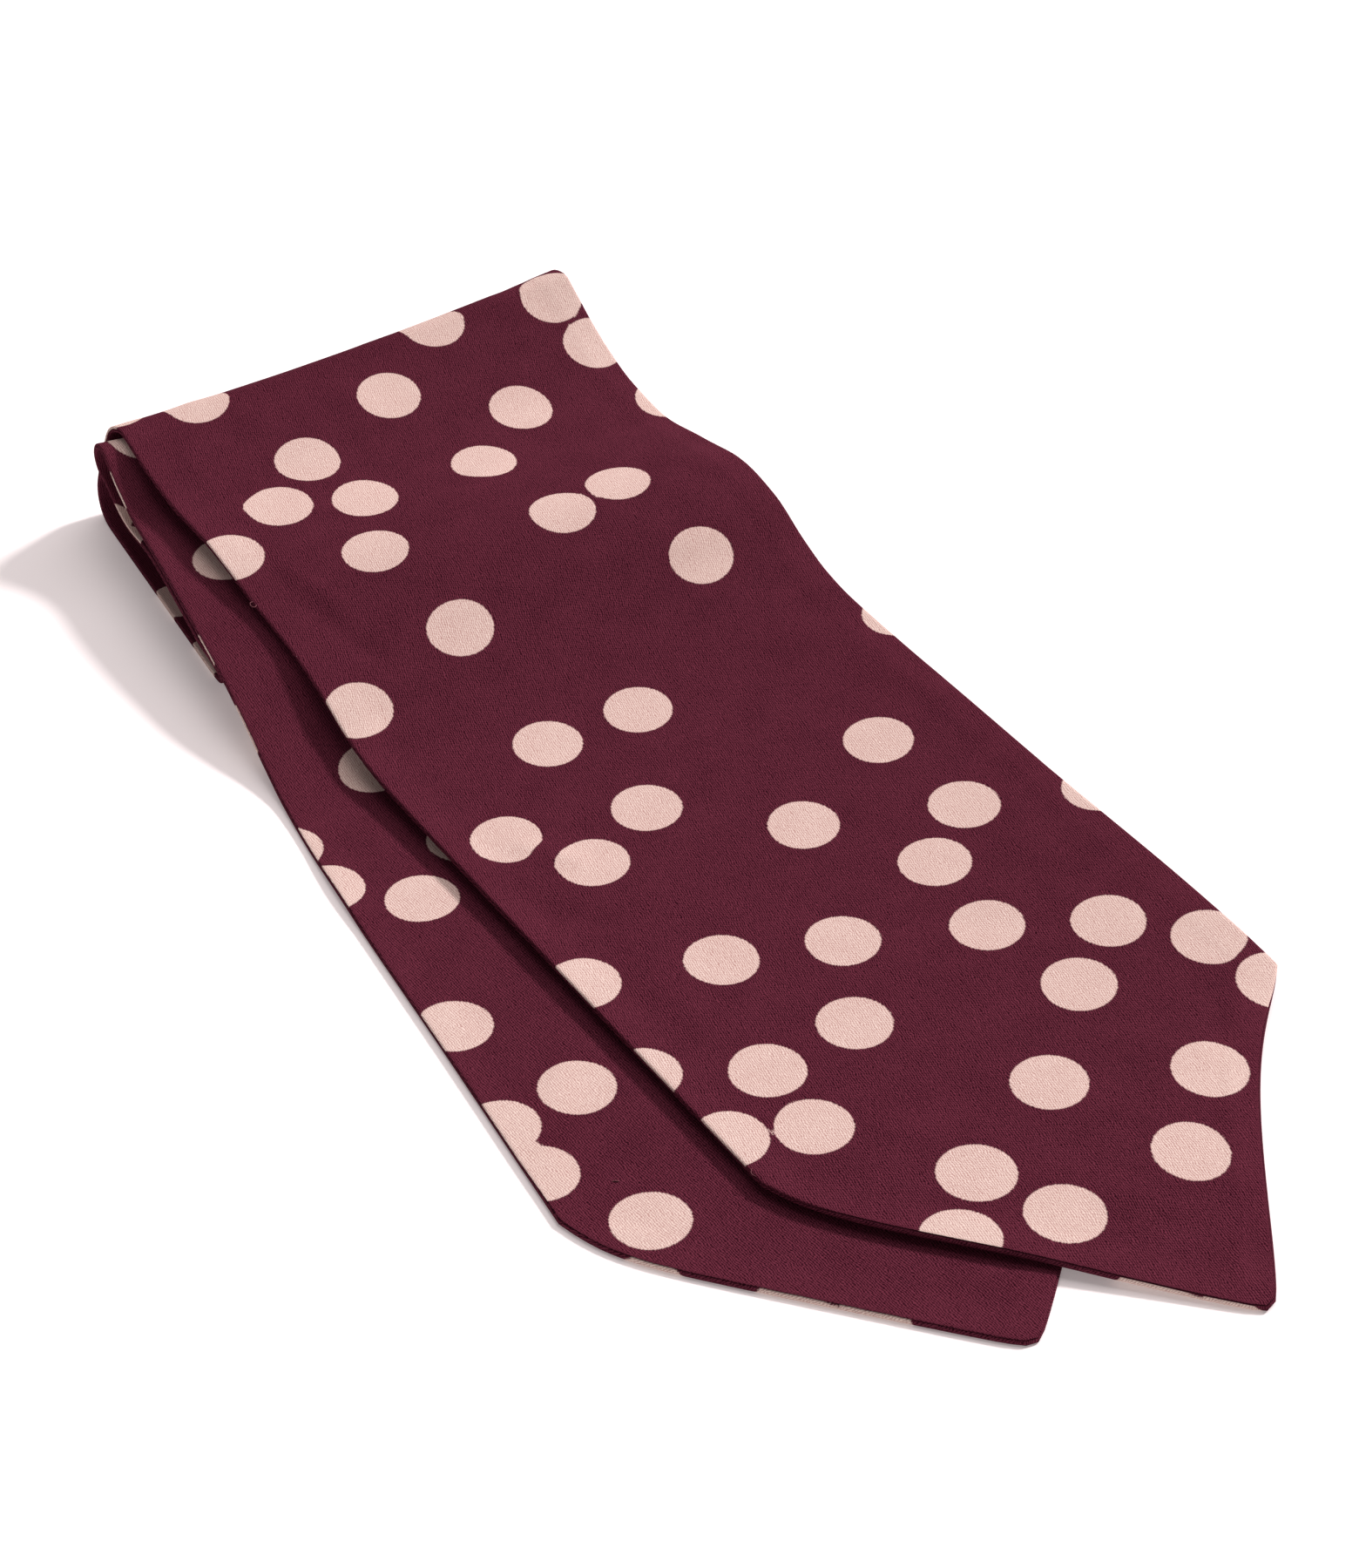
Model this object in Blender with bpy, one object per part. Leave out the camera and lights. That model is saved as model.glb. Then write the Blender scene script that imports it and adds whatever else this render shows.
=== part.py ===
"""A narrow two-ply scarf with pointed ends, folded into four runs that lie on each other.

The runs follow one strip of cloth from end to end: the top run, round the outer far fold to the
bottom run, round a near fold to the third run, and round the inner far fold to the second run.
Sizes in the tables are millimetres: "across" grows to the right and "along" grows from the top
run's point towards the far folds. The model is centred over its own footprint at the end.
"""

import math
from collections import namedtuple

import bpy
import bmesh

MM = 0.001

# The cloth: two plies and their turned edge make one wall
CLOTH_WIDTH = 117.0
WALL = 1.4
GAP = 0.3
REST = WALL / 2.0
SLOPE_ALLOWANCE = 1.22
LAYER = SLOPE_ALLOWANCE * WALL + GAP
COLUMNS = 12

# The pointed ends
POINT_NOSE = 2.0
SHOULDER_REACH = 4.0
POINT_ROWS = 7
BOW_PEAK = 1.36
TOP_SHOULDER = 84.0
SECOND_SHOULDER = 106.0

# Places along a run: long steps where it lies flat, short ones over the hump
FLAT_STEP = 13.0
TOP_FLAT_END = 200.0
SECOND_FLAT_END = 205.0
HUMP_STEP = 6.0
HIDDEN_STEP = 7.0

# The far folds and the near fold
OUTER_FOLD_RADIUS = 5.0
OUTER_FOLD_LOW_RADIUS = 6.5
OUTER_FOLD_LEAN = 18.0
TOP_FOLD_ALONG = 339.5
SECOND_FOLD_ALONG = 339.5
INNER_FOLD_DROP = 9.5
FOLD_OPENS = 306.0
HIDDEN_FAR_END = 326.0
ARC_STEPS = 5
BACK_STEPS = 3
LIP_STEPS = 2
EDGE_LAYER_DEPTH = 7.0

# Finding a run's own place under or over a place in the plan
PAST_EVERY_ROW = 400.0
HALVINGS = 24
TURN_ROUNDS = 6

Row = namedtuple("Row", "along left middle right")
Edge = namedtuple("Edge", "along across turn")
Point = namedtuple("Point", "along share left_rise right_rise left_round right_round right_bow")

# Heights of the cloth's middle plane; a row runs straight across the cloth, slanted by its skew
TOP_HEIGHTS = (
    Row(0, 0.9, 0.7, 0.7),
    Row(18, 3.3, 1.3, 0.7),
    Row(38, 3.4, 2.5, 0.8),
    Row(60, 3.3, 2.9, 2.9),
    Row(80, 3.3, 2.9, 5.0),
    Row(105, 3.4, 3.1, 6.0),
    Row(145, 3.7, 3.5, 6.4),
    Row(186, 4.0, 4.3, 7.8),
    Row(211, 4.6, 5.3, 9.0),
    Row(229, 6.7, 7.6, 10.4),
    Row(243, 11.0, 11.8, 13.4),
    Row(258, 14.0, 17.4, 18.4),
    Row(272, 16.0, 20.2, 20.6),
    Row(286, 18.6, 19.4, 18.2),
    Row(298, 20.3, 18.8, 15.9),
    Row(309, 20.5, 20.2, 17.8),
    Row(323, 21.9, 24.2, 23.7),
    Row(339.5, 25.0, 28.3, 32.7),
)
TOP_SKEW = ((0, 0.0), (200, 0.0), (230, 9.0), (272, 16.0), (298, 9.0), (323, 5.0), (339.5, 6.0))
TOP_LEFT_EDGE = ((0, -60.0), (215, -60.0), (262, -58.4), (360, -58.4))
TOP_POINT = Point(0.0, 0.507, 1.13, 1.17, 8.0, 1.5, 5.8)

SECOND_HEIGHTS = (
    Row(0, REST, REST, REST),
    Row(212, REST, REST, REST),
    Row(224, 1.1, 1.6, 1.0),
    Row(235, 3.2, 5.0, 3.6),
    Row(247, 6.8, 9.8, 9.0),
    Row(262, 10.6, 15.0, 16.0),
    Row(274, 12.4, 17.0, 18.0),
    Row(290, 14.5, 16.5, 15.8),
    Row(305, 15.8, 16.8, 14.4),
    Row(318, 16.3, 18.5, 16.8),
    Row(330, 17.8, 20.6, 21.0),
    Row(339.5, 22.7, 23.6, 25.6),
)
SECOND_LEFT_EDGE = (
    Edge(16, -102.2, 6.2),
    Edge(91, -94.0, 6.2),
    Edge(138, -88.7, 6.4),
    Edge(199, -82.1, 7.0),
    Edge(239, -76.3, 8.0),
    Edge(295, -69.0, 8.0),
    Edge(350, -61.6, 8.0),
)
SECOND_POINT = Point(22.9, 0.519, 0.95, 1.11, 9.0, 9.0, 0.0)

BOTTOM_LEFT_EDGE = ((255, -70.8), (276, -68.8), (345, -62.0), (360, -60.6))
HIDDEN_SLANT = ((268, 11.5), (326, 8.0))
NEAR_FOLD_ALONG = 272.0
NEAR_FOLD_NOSE = 5.0
NEAR_FOLD_DEGREES = (20, 40, 58, 72, 82)

BURGUNDY = (0.107, 0.022, 0.033)
ROUGHNESS = 0.85
CREASE_DEGREES = 40.0


def clear_scene():
    """Remove every object so that the script starts from nothing."""
    for item in list(bpy.data.objects):
        bpy.data.objects.remove(item, do_unlink=True)


def between(knots, place):
    """Read a smooth curve through (place, value) knots, flat past both ends."""
    if place <= knots[0][0]:
        return knots[0][1]
    if place >= knots[-1][0]:
        return knots[-1][1]
    last = len(knots) - 1
    index = next(i for i in range(last) if knots[i + 1][0] >= place)
    slopes = []
    for i in (index, index + 1):
        before = knots[max(i - 1, 0)]
        after = knots[min(i + 1, last)]
        here = knots[i]
        if before is here or after is here:
            slopes.append((after[1] - before[1]) / (after[0] - before[0]))
            continue
        rise_in = (here[1] - before[1]) / (here[0] - before[0])
        rise_out = (after[1] - here[1]) / (after[0] - here[0])
        level = rise_in * rise_out <= 0.0
        slopes.append(0.0 if level else 2.0 * rise_in * rise_out / (rise_in + rise_out))
    start, end = knots[index], knots[index + 1]
    span = end[0] - start[0]
    t = (place - start[0]) / span
    return ((2 * t**3 - 3 * t**2 + 1) * start[1] + (t**3 - 2 * t**2 + t) * span * slopes[0]
            + (3 * t**2 - 2 * t**3) * end[1] + (t**3 - t**2) * span * slopes[1])


def across_row(row, share):
    """Height at a share of the width, through the row's left, middle and right heights."""
    left, middle, right = row.left, row.middle, row.right
    return (left * (1 - share) * (1 - 2 * share) + 4 * middle * share * (1 - share)
            + right * share * (2 * share - 1))


def height_at(table, along, share):
    """Height of the cloth's middle plane at a row's place and a share of the width."""
    return between([(row.along, across_row(row, share)) for row in table], along)


def column_shares(middle):
    """Shares of the width, closer together at both edges, with one at the given middle."""
    half = COLUMNS // 2
    steps = [1.0 - math.cos(math.pi / 2.0 * i / half) for i in range(half + 1)]
    left = [middle * step for step in steps]
    right = [1.0 - (1.0 - middle) * step for step in reversed(steps[:-1])]
    return left + right


def point_outline(share, point):
    """Where a pointed end is cut, as a place along the run, at a share of the width."""
    side = (share - point.share) * CLOTH_WIDTH
    rise = point.left_rise if side < 0.0 else point.right_rise
    cut = math.hypot(rise * side, POINT_NOSE) - POINT_NOSE
    cut += point.left_round * math.exp(-share * CLOTH_WIDTH / SHOULDER_REACH)
    cut += point.right_round * math.exp(-(1.0 - share) * CLOTH_WIDTH / SHOULDER_REACH)
    if side > 0.0:
        part = side / ((1.0 - point.share) * CLOTH_WIDTH)
        cut += point.right_bow * math.sin(math.pi * part ** BOW_PEAK)
    return point.along + cut


def top_place(along, share):
    """A place on the top run: across, along and height, for a row's place and a share."""
    left = between(TOP_LEFT_EDGE, along)
    return (left + share * CLOTH_WIDTH, along - share * between(TOP_SKEW, along),
            height_at(TOP_HEIGHTS, along, share))


def top_height_over(across, along):
    """Height of the top run's middle plane over any place in the plan."""
    low, high = 0.0, PAST_EVERY_ROW
    share = min(max((across - between(TOP_LEFT_EDGE, along)) / CLOTH_WIDTH, 0.0), 1.0)
    for _ in range(HALVINGS):
        row = (low + high) / 2.0
        if row - share * between(TOP_SKEW, row) < along:
            low = row
        else:
            high = row
    return height_at(TOP_HEIGHTS, low, share)


def second_place(along, share):
    """A place on the second run, which is turned from the top run and kept just under it."""
    left = between([(edge.along, edge.across) for edge in SECOND_LEFT_EDGE], along)
    turn = math.radians(between([(edge.along, edge.turn) for edge in SECOND_LEFT_EDGE], along))
    across = left + share * CLOTH_WIDTH * math.cos(turn)
    reach = along - share * CLOTH_WIDTH * math.sin(turn)
    height = height_at(SECOND_HEIGHTS, along, share)
    height = min(height, top_height_over(across, reach) - LAYER)
    return (across, reach, max(height, REST))


def run_rows(place, point, shoulder, stops):
    """Rows of a run from its point to its far end; stops are the places past the shoulder."""
    rows = []
    shares = column_shares(point.share)
    for step in range(POINT_ROWS):
        part = step / POINT_ROWS
        row = []
        for share in shares:
            start = point_outline(share, point)
            row.append(place(start + (shoulder - start) * part, share))
        rows.append(row)
    for along in stops:
        rows.append([place(along, share) for share in shares])
    return rows


def spaced(start, end, step):
    """Evenly spaced places from start to end, both included."""
    count = max(1, round((end - start) / step))
    return [start + (end - start) * i / count for i in range(count + 1)]


def arc(centre, radius, start, end):
    """Points on an arc in the side view, without its first one."""
    angles = [start + (end - start) * i / ARC_STEPS for i in range(1, ARC_STEPS + 1)]
    return [(centre[0] + radius * math.cos(angle), centre[1] + radius * math.sin(angle))
            for angle in angles]


def fold_path(start, heading, lean, top_radius, low_radius, floor):
    """Side view of a far fold: over the top, down its leaning back and round to the floor."""
    along, height = start
    centre = (along + top_radius * math.sin(heading), height - top_radius * math.cos(heading))
    points = arc(centre, top_radius, heading + math.pi / 2.0, lean)
    back_along, back_high = points[-1]
    low_high = floor + low_radius * (1.0 + math.sin(lean))
    low_along = back_along + (back_high - low_high) * math.tan(lean)
    for i in range(1, BACK_STEPS + 1):
        part = i / BACK_STEPS
        points.append((back_along + (low_along - back_along) * part,
                       back_high + (low_high - back_high) * part))
    centre = (low_along - low_radius * math.cos(lean), floor + low_radius)
    return points + arc(centre, low_radius, lean, -math.pi / 2.0)


def outer_fold_rows(last_row, row_before):
    """Rows from the top run's far end round the outer fold, and a short lip of the bottom run."""
    columns = []
    for end, before in zip(last_row, row_before):
        heading = math.atan2(end[2] - before[2], end[1] - before[1])
        path = fold_path((end[1], end[2]), heading, math.radians(OUTER_FOLD_LEAN),
                         OUTER_FOLD_RADIUS, OUTER_FOLD_LOW_RADIUS, REST)
        lip_start = path[-1][0]
        shift = between(BOTTOM_LEFT_EDGE, lip_start) - last_row[0][0]
        lip_end = seam_along(end[0] + shift) + GAP
        path += [(lip_start + (lip_end - lip_start) * i / LIP_STEPS, REST)
                 for i in range(1, LIP_STEPS + 1)]
        columns.append([(end[0] + shift * min(1.0, i / (len(path) - LIP_STEPS)), along, height)
                        for i, (along, height) in enumerate(path, 1)])
    return [list(row) for row in zip(*columns)]


def second_row_over(across, along):
    """The second run's row and share of the width over any place in the plan."""
    share = 0.5
    row = along
    for _ in range(TURN_ROUNDS):
        left = between([(edge.along, edge.across) for edge in SECOND_LEFT_EDGE], row)
        turn = math.radians(between([(edge.along, edge.turn) for edge in SECOND_LEFT_EDGE], row))
        share = min(max((across - left) / (CLOTH_WIDTH * math.cos(turn)), 0.0), 1.0)
        row = along + share * CLOTH_WIDTH * math.sin(turn)
    return row, share


def third_height_over(across, along):
    """Height of the third run's middle plane: close under the second run, open at the fold."""
    row, share = second_row_over(across, along)
    part = min(max((row - FOLD_OPENS) / (SECOND_FOLD_ALONG - FOLD_OPENS), 0.0), 1.0)
    opening = (INNER_FOLD_DROP - LAYER) * part * part * (3.0 - 2.0 * part)
    return second_place(row, share)[2] - LAYER - opening


def seam_along(across):
    """Where the far folds' lips meet the hidden runs, in the plan."""
    slant = math.tan(math.radians(SECOND_LEFT_EDGE[-1].turn))
    return HIDDEN_FAR_END - (across - SECOND_LEFT_EDGE[-1].across) * slant


def inner_fold_rows(last_row):
    """Rows from the second run's far end round the inner fold, and a short lip of the third run."""
    radius = INNER_FOLD_DROP / 2.0
    columns = []
    for across, along, height in last_row:
        path = fold_path((along, height), 0.0, 0.0, radius, radius, height - INNER_FOLD_DROP)
        path = path[:ARC_STEPS] + path[ARC_STEPS + BACK_STEPS:]
        lip_start = path[-1][0]
        lip_end = seam_along(across) + GAP
        for i in range(1, LIP_STEPS + 1):
            place = lip_start + (lip_end - lip_start) * i / LIP_STEPS
            path.append((place, third_height_over(across, place)))
        columns.append([(across, place, high) for place, high in path])
    return [list(row) for row in zip(*columns)]


def cloth_wall(name, rows, material):
    """A wall of cloth about a grid of places, made thick by Solidify."""
    mesh = bpy.data.meshes.new(name)
    width = len(rows[0])
    verts = [(across * MM, along * MM, height * MM) for row in rows for across, along, height in row]
    faces = []
    for i in range(len(rows) - 1):
        for j in range(width - 1):
            corner = i * width + j
            faces.append((corner, corner + 1, corner + width + 1, corner + width))
    mesh.from_pydata(verts, [], faces)
    item = bpy.data.objects.new(name, mesh)
    bpy.context.collection.objects.link(item)
    item.data.materials.append(material)
    solid = item.modifiers.new("Ply", 'SOLIDIFY')
    solid.thickness = WALL * MM
    solid.offset = 0.0
    solid.use_even_offset = True
    mesh.shade_smooth()
    mesh.set_sharp_from_angle(angle=math.radians(CREASE_DEGREES))
    return item


def hidden_section(along, nose):
    """Outline of the two hidden runs across the cloth; nose is 0 on the flat and 1 at the tip."""
    shares = column_shares(0.5)
    second_left = between([(edge.along, edge.across) for edge in SECOND_LEFT_EDGE], along)
    low_left = between(BOTTOM_LEFT_EDGE, along)
    slant = math.tan(math.radians(between(HIDDEN_SLANT, along)))
    round_off = 1.0 - math.sqrt(max(0.0, 1.0 - nose * nose))

    def place(left, share, high_of):
        across = left + share * CLOTH_WIDTH
        reach = along - (across - SECOND_LEFT_EDGE[-1].across) * slant
        return (across, reach, high_of(across, reach))

    def top(across, reach):
        full = third_height_over(across, reach) + REST
        return full - (full / 2.0) * round_off

    def base(across, reach):
        return (third_height_over(across, reach) + REST) / 2.0 * round_off

    def top_layer(across, reach):
        return max(top(across, reach) - WALL, middle(across, reach) + GAP)

    def low_layer(across, reach):
        return min(base(across, reach) + WALL, middle(across, reach) - GAP)

    def middle(across, reach):
        return (top(across, reach) + base(across, reach)) / 2.0

    inset = EDGE_LAYER_DEPTH / CLOTH_WIDTH * (1.0 - nose)
    outline = [place(second_left, share, top) for share in shares]
    outline += [place(second_left, 1.0, top_layer), place(second_left, 1.0 - inset, top_layer)]
    outline += [place(low_left, 1.0 - inset, low_layer), place(low_left, 1.0, low_layer)]
    outline += [place(low_left, share, base) for share in reversed(shares)]
    outline += [place(low_left, 0.0, low_layer), place(low_left, inset, low_layer)]
    outline += [place(second_left, inset, top_layer), place(second_left, 0.0, top_layer)]
    return outline


def hidden_layers(material):
    """The bottom and third runs with the near fold between them, as one rounded solid."""
    stations = [(along, 0.0) for along in spaced(NEAR_FOLD_ALONG, HIDDEN_FAR_END, HIDDEN_STEP)]
    for degrees in NEAR_FOLD_DEGREES:
        nose = math.sin(math.radians(degrees))
        stations.insert(0, (NEAR_FOLD_ALONG - NEAR_FOLD_NOSE * nose, nose))
    work = bmesh.new()
    rings = []
    for along, nose in stations:
        ring = [work.verts.new((x * MM, y * MM, z * MM)) for x, y, z in hidden_section(along, nose)]
        rings.append(ring)
    count = len(rings[0])
    for near, far_ring in zip(rings, rings[1:]):
        for i in range(count):
            k = (i + 1) % count
            work.faces.new((near[i], near[k], far_ring[k], far_ring[i]))
    work.faces.new(list(reversed(rings[0])))
    work.faces.new(rings[-1])
    bmesh.ops.recalc_face_normals(work, faces=work.faces)
    mesh = bpy.data.meshes.new("hidden_layers")
    work.to_mesh(mesh)
    work.free()
    mesh.materials.append(material)
    mesh.shade_smooth()
    mesh.set_sharp_from_angle(angle=math.radians(CREASE_DEGREES))
    item = bpy.data.objects.new("hidden_layers", mesh)
    bpy.context.collection.objects.link(item)
    return item


def cloth_material(name, shade):
    """Matt burgundy cloth, a little lighter or darker for each run."""
    material = bpy.data.materials.new(name)
    material.use_nodes = True
    shader = material.node_tree.nodes["Principled BSDF"]
    shader.inputs["Base Color"].default_value = [channel * shade for channel in BURGUNDY] + [1.0]
    shader.inputs["Roughness"].default_value = ROUGHNESS
    shader.inputs["Metallic"].default_value = 0.0
    return material


def centre_on_floor(items):
    """Move every mesh so that the footprint's middle is the origin and the lowest point is 0."""
    bpy.context.view_layer.update()
    graph = bpy.context.evaluated_depsgraph_get()
    corners = []
    for item in items:
        corners += [vert.co.copy() for vert in item.evaluated_get(graph).data.vertices]
    lows = [min(co[axis] for co in corners) for axis in range(3)]
    highs = [max(co[axis] for co in corners) for axis in range(3)]
    middle = [(low + high) / 2.0 for low, high in zip(lows, highs)]
    for item in items:
        for vert in item.data.vertices:
            vert.co.x -= middle[0]
            vert.co.y -= middle[1]
            vert.co.z -= lows[2]
        item.data.update()


def main():
    """Build the three pieces of folded cloth."""
    clear_scene()
    top_stops = spaced(TOP_SHOULDER, TOP_FLAT_END, FLAT_STEP)
    top_stops += spaced(TOP_FLAT_END + HUMP_STEP, TOP_FOLD_ALONG, HUMP_STEP)
    top_rows = run_rows(top_place, TOP_POINT, TOP_SHOULDER, top_stops)
    top_rows += outer_fold_rows(top_rows[-1], top_rows[-2])
    top = cloth_wall("top_run", top_rows, cloth_material("top_cloth", 1.0))

    second_stops = spaced(SECOND_SHOULDER, SECOND_FLAT_END, FLAT_STEP)
    second_stops += spaced(SECOND_FLAT_END + HUMP_STEP, SECOND_FOLD_ALONG, HUMP_STEP)
    second_rows = run_rows(second_place, SECOND_POINT, SECOND_SHOULDER, second_stops)
    second_rows += inner_fold_rows(second_rows[-1])
    second = cloth_wall("second_run", second_rows, cloth_material("second_cloth", 0.9))

    hidden = hidden_layers(cloth_material("hidden_cloth", 0.8))
    centre_on_floor([top, second, hidden])


main()
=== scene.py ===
"""Looks of a narrow two-ply scarf with dots, folded into four runs that lie on each other.

The cloth is one strip, followed from end to end: the top run from its point, round the outer far
fold, back along the bottom run, round the near fold, along the third run, round the inner far fold
and back along the second run to its point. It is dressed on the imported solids, in their frame.
Sizes in the tables are millimetres: "across" grows to the right and "along" grows from the top
run's point towards the far folds. The finished pieces are in metres, like the frame.
"""

import logging
import math
from dataclasses import dataclass
from enum import Enum
from typing import Any, Callable, Sequence

import bpy
import numpy as np
from mathutils import Matrix, Vector

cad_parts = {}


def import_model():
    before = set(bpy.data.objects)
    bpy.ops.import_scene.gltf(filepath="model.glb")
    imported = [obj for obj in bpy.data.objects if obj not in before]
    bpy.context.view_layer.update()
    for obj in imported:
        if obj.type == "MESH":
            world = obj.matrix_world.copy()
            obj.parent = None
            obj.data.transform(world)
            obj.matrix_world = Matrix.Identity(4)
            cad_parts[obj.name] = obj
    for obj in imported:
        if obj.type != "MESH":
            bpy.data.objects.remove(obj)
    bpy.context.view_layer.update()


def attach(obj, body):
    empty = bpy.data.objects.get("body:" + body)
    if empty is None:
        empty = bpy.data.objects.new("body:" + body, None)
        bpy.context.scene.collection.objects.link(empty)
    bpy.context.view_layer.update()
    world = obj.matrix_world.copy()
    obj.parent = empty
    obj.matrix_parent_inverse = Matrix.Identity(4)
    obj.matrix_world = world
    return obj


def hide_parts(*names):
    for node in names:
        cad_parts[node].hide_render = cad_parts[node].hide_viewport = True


LOG = logging.getLogger("scarf")
MM = 0.001
FRAME_MIDDLE = np.array((-17.851, 175.134, 0.0))
WARM_WHITE = (1.0, 0.89, 0.89)
Triple = tuple[float, float, float]
Colour = tuple[float, float, float, float]


class Side(Enum):
    """The two faces of the strip: the one that shows on the top run, and its other one."""

    FACE = 0
    BACK = 1


class Run(Enum):
    """The stretches that show; the two runs take places in the plan, the fold on the cloth."""

    TOP = "top"
    SECOND = "second"
    FOLD = "outer fold"


@dataclass(frozen=True)
class Row:
    """Heights of the cloth's middle plane on one row, at the left edge, middle and right edge."""

    along: float
    left: float
    middle: float
    right: float


@dataclass(frozen=True)
class Edge:
    """A place on the second run's left edge, and how far its row is turned, in degrees."""

    along: float
    across: float
    turn: float


@dataclass(frozen=True)
class Point:
    """The cut of a pointed end: its nose, the rise of both sides, and how the corners round."""

    along: float
    share: float
    left_rise: float
    right_rise: float
    left_round: float
    right_round: float
    right_bow: float


def between(places: Sequence[float], values: np.ndarray, where: np.ndarray) -> np.ndarray:
    """Read a smooth curve through knots, which never overshoots them and is flat past both ends.

    Args:
        places: The knots' places, in rising order.
        values: One value for each knot, or a row of values for each knot.
        where: The places to read, one for each column of values.

    Returns:
        The curve's value at each place.
    """
    knots = np.asarray(places, float)
    where = np.clip(np.asarray(where, float), knots[0], knots[-1])
    values = np.asarray(values, float)
    if values.ndim == 1:
        values = np.repeat(values[:, None], where.size, axis=1)
    spans = np.diff(knots)[:, None]
    rises = np.diff(values, axis=0) / spans
    slopes = np.empty_like(values)
    slopes[0] = rises[0]
    slopes[-1] = rises[-1]
    product = rises[:-1] * rises[1:]
    total = rises[:-1] + rises[1:]
    safe = np.where(product > 0.0, total, 1.0)
    slopes[1:-1] = np.where(product > 0.0, 2.0 * product / safe, 0.0)
    index = np.clip(np.searchsorted(knots, where, side="left") - 1, 0, len(knots) - 2)
    column = np.arange(where.size)
    span = spans[index, 0]
    t = (where - knots[index]) / span
    return ((2 * t**3 - 3 * t**2 + 1) * values[index, column]
            + (t**3 - 2 * t**2 + t) * span * slopes[index, column]
            + (3 * t**2 - 2 * t**3) * values[index + 1, column]
            + (t**3 - t**2) * span * slopes[index + 1, column])


@dataclass(frozen=True)
class FoldedForm:
    """The middle plane of the folded cloth, run by run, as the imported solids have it."""

    width: float = 117.0
    wall: float = 1.4
    layer: float = 2.008
    point_nose: float = 2.0
    bow_peak: float = 1.36
    shoulder_reach: float = 4.0
    top_far: float = 339.5
    second_far: float = 339.5
    inner_drop: float = 9.5
    fold_opens: float = 306.0
    near_fold: float = 272.0
    near_nose: float = 4.3
    outer_radius: float = 5.0
    outer_low_radius: float = 6.5
    outer_lean: float = 18.0
    top_rows: tuple[Row, ...] = tuple(Row(*row) for row in (
        (0, 0.9, 0.7, 0.7), (18, 3.3, 1.3, 0.7), (38, 3.4, 2.5, 0.8), (60, 3.3, 2.9, 2.9),
        (80, 3.3, 2.9, 5.0), (105, 3.4, 3.1, 6.0), (145, 3.7, 3.5, 6.4), (186, 4.0, 4.3, 7.8),
        (211, 4.6, 5.3, 9.0), (229, 6.7, 7.6, 10.4), (243, 11.0, 11.8, 13.4),
        (258, 14.0, 17.4, 18.4), (272, 16.0, 20.2, 20.6), (286, 18.6, 19.4, 18.2),
        (298, 20.3, 18.8, 15.9), (309, 20.5, 20.2, 17.8), (323, 22.4, 24.2, 23.7),
        (339.5, 26.4, 28.4, 32.7)))
    top_skew: tuple[tuple[float, float], ...] = (
        (0, 0.0), (200, 0.0), (230, 9.0), (272, 16.0), (298, 9.0), (323, 5.0), (339.5, 6.0))
    top_left: tuple[tuple[float, float], ...] = (
        (0, -60.0), (215, -60.0), (262, -58.4), (310, -58.4), (345, -57.4))
    top_point: Point = Point(0.0, 0.497, 1.153, 1.147, 8.0, 1.5, 5.8)
    second_rows: tuple[Row, ...] = tuple(Row(*row) for row in (
        (0, 0.7, 0.7, 0.7), (212, 0.7, 0.7, 0.7), (224, 1.1, 1.6, 1.0), (235, 3.2, 5.0, 3.6),
        (247, 6.8, 9.8, 9.0), (262, 10.6, 15.0, 16.0), (274, 12.4, 17.0, 18.0),
        (290, 14.5, 16.5, 15.8), (305, 15.8, 16.8, 14.4), (318, 16.3, 18.5, 16.8),
        (330, 19.4, 20.6, 21.0), (339.5, 25.0, 24.6, 25.6)))
    second_left: tuple[Edge, ...] = tuple(Edge(*edge) for edge in (
        (16, -102.2, 6.2), (91, -94.0, 6.2), (138, -88.7, 6.4), (199, -82.1, 7.0),
        (239, -76.3, 8.0), (295, -69.0, 8.0), (350, -61.6, 8.0)))
    second_point: Point = Point(22.9, 0.519, 0.95, 1.11, 9.0, 9.0, 0.0)
    bottom_left: tuple[tuple[float, float], ...] = (
        (255, -70.8), (276, -68.8), (345, -62.0), (360, -60.6))
    hidden_slant: tuple[tuple[float, float], ...] = ((268, 11.5), (326, 8.0))
    hollow: tuple[tuple[float, float], ...] = (
        (232, 0.8), (252, 0.3), (264, 0.15), (272, 0.5), (284, 1.6), (305, 1.6), (326, 0.7),
        (336, 0.0))
    dip: tuple[tuple[float, float], ...] = (
        (200, 0.0), (220, 0.9), (236, 1.1), (248, 0.5), (260, 0.0))
    hollow_reach: float = 8.0
    longest_row: float = 400.0
    row_halvings: int = 24
    turn_passes: int = 6

    @property
    def rest(self) -> float:
        """Height of the middle plane where the cloth lies on the floor."""
        return self.wall / 2.0

    def heights(self, rows: Sequence[Row], along: np.ndarray, share: np.ndarray) -> np.ndarray:
        """Read a run's height at each row's place and share of the width.

        Args:
            rows: The run's table of heights.
            along: Each place's row.
            share: Each place's share of the width, from the left edge.

        Returns:
            The middle plane's heights.
        """
        table = np.array([(row.left, row.middle, row.right) for row in rows])
        left, middle, right = (table[:, k:k + 1] for k in range(3))
        knots = (left * (1 - share) * (1 - 2 * share) + 4 * middle * share * (1 - share)
                 + right * share * (2 * share - 1))
        return between([row.along for row in rows], knots, along)

    def read(self, pairs: Sequence[tuple[float, float]], where: np.ndarray) -> np.ndarray:
        """Read a smooth curve through pairs of place and value."""
        return between([pair[0] for pair in pairs], np.array([pair[1] for pair in pairs]), where)

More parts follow.
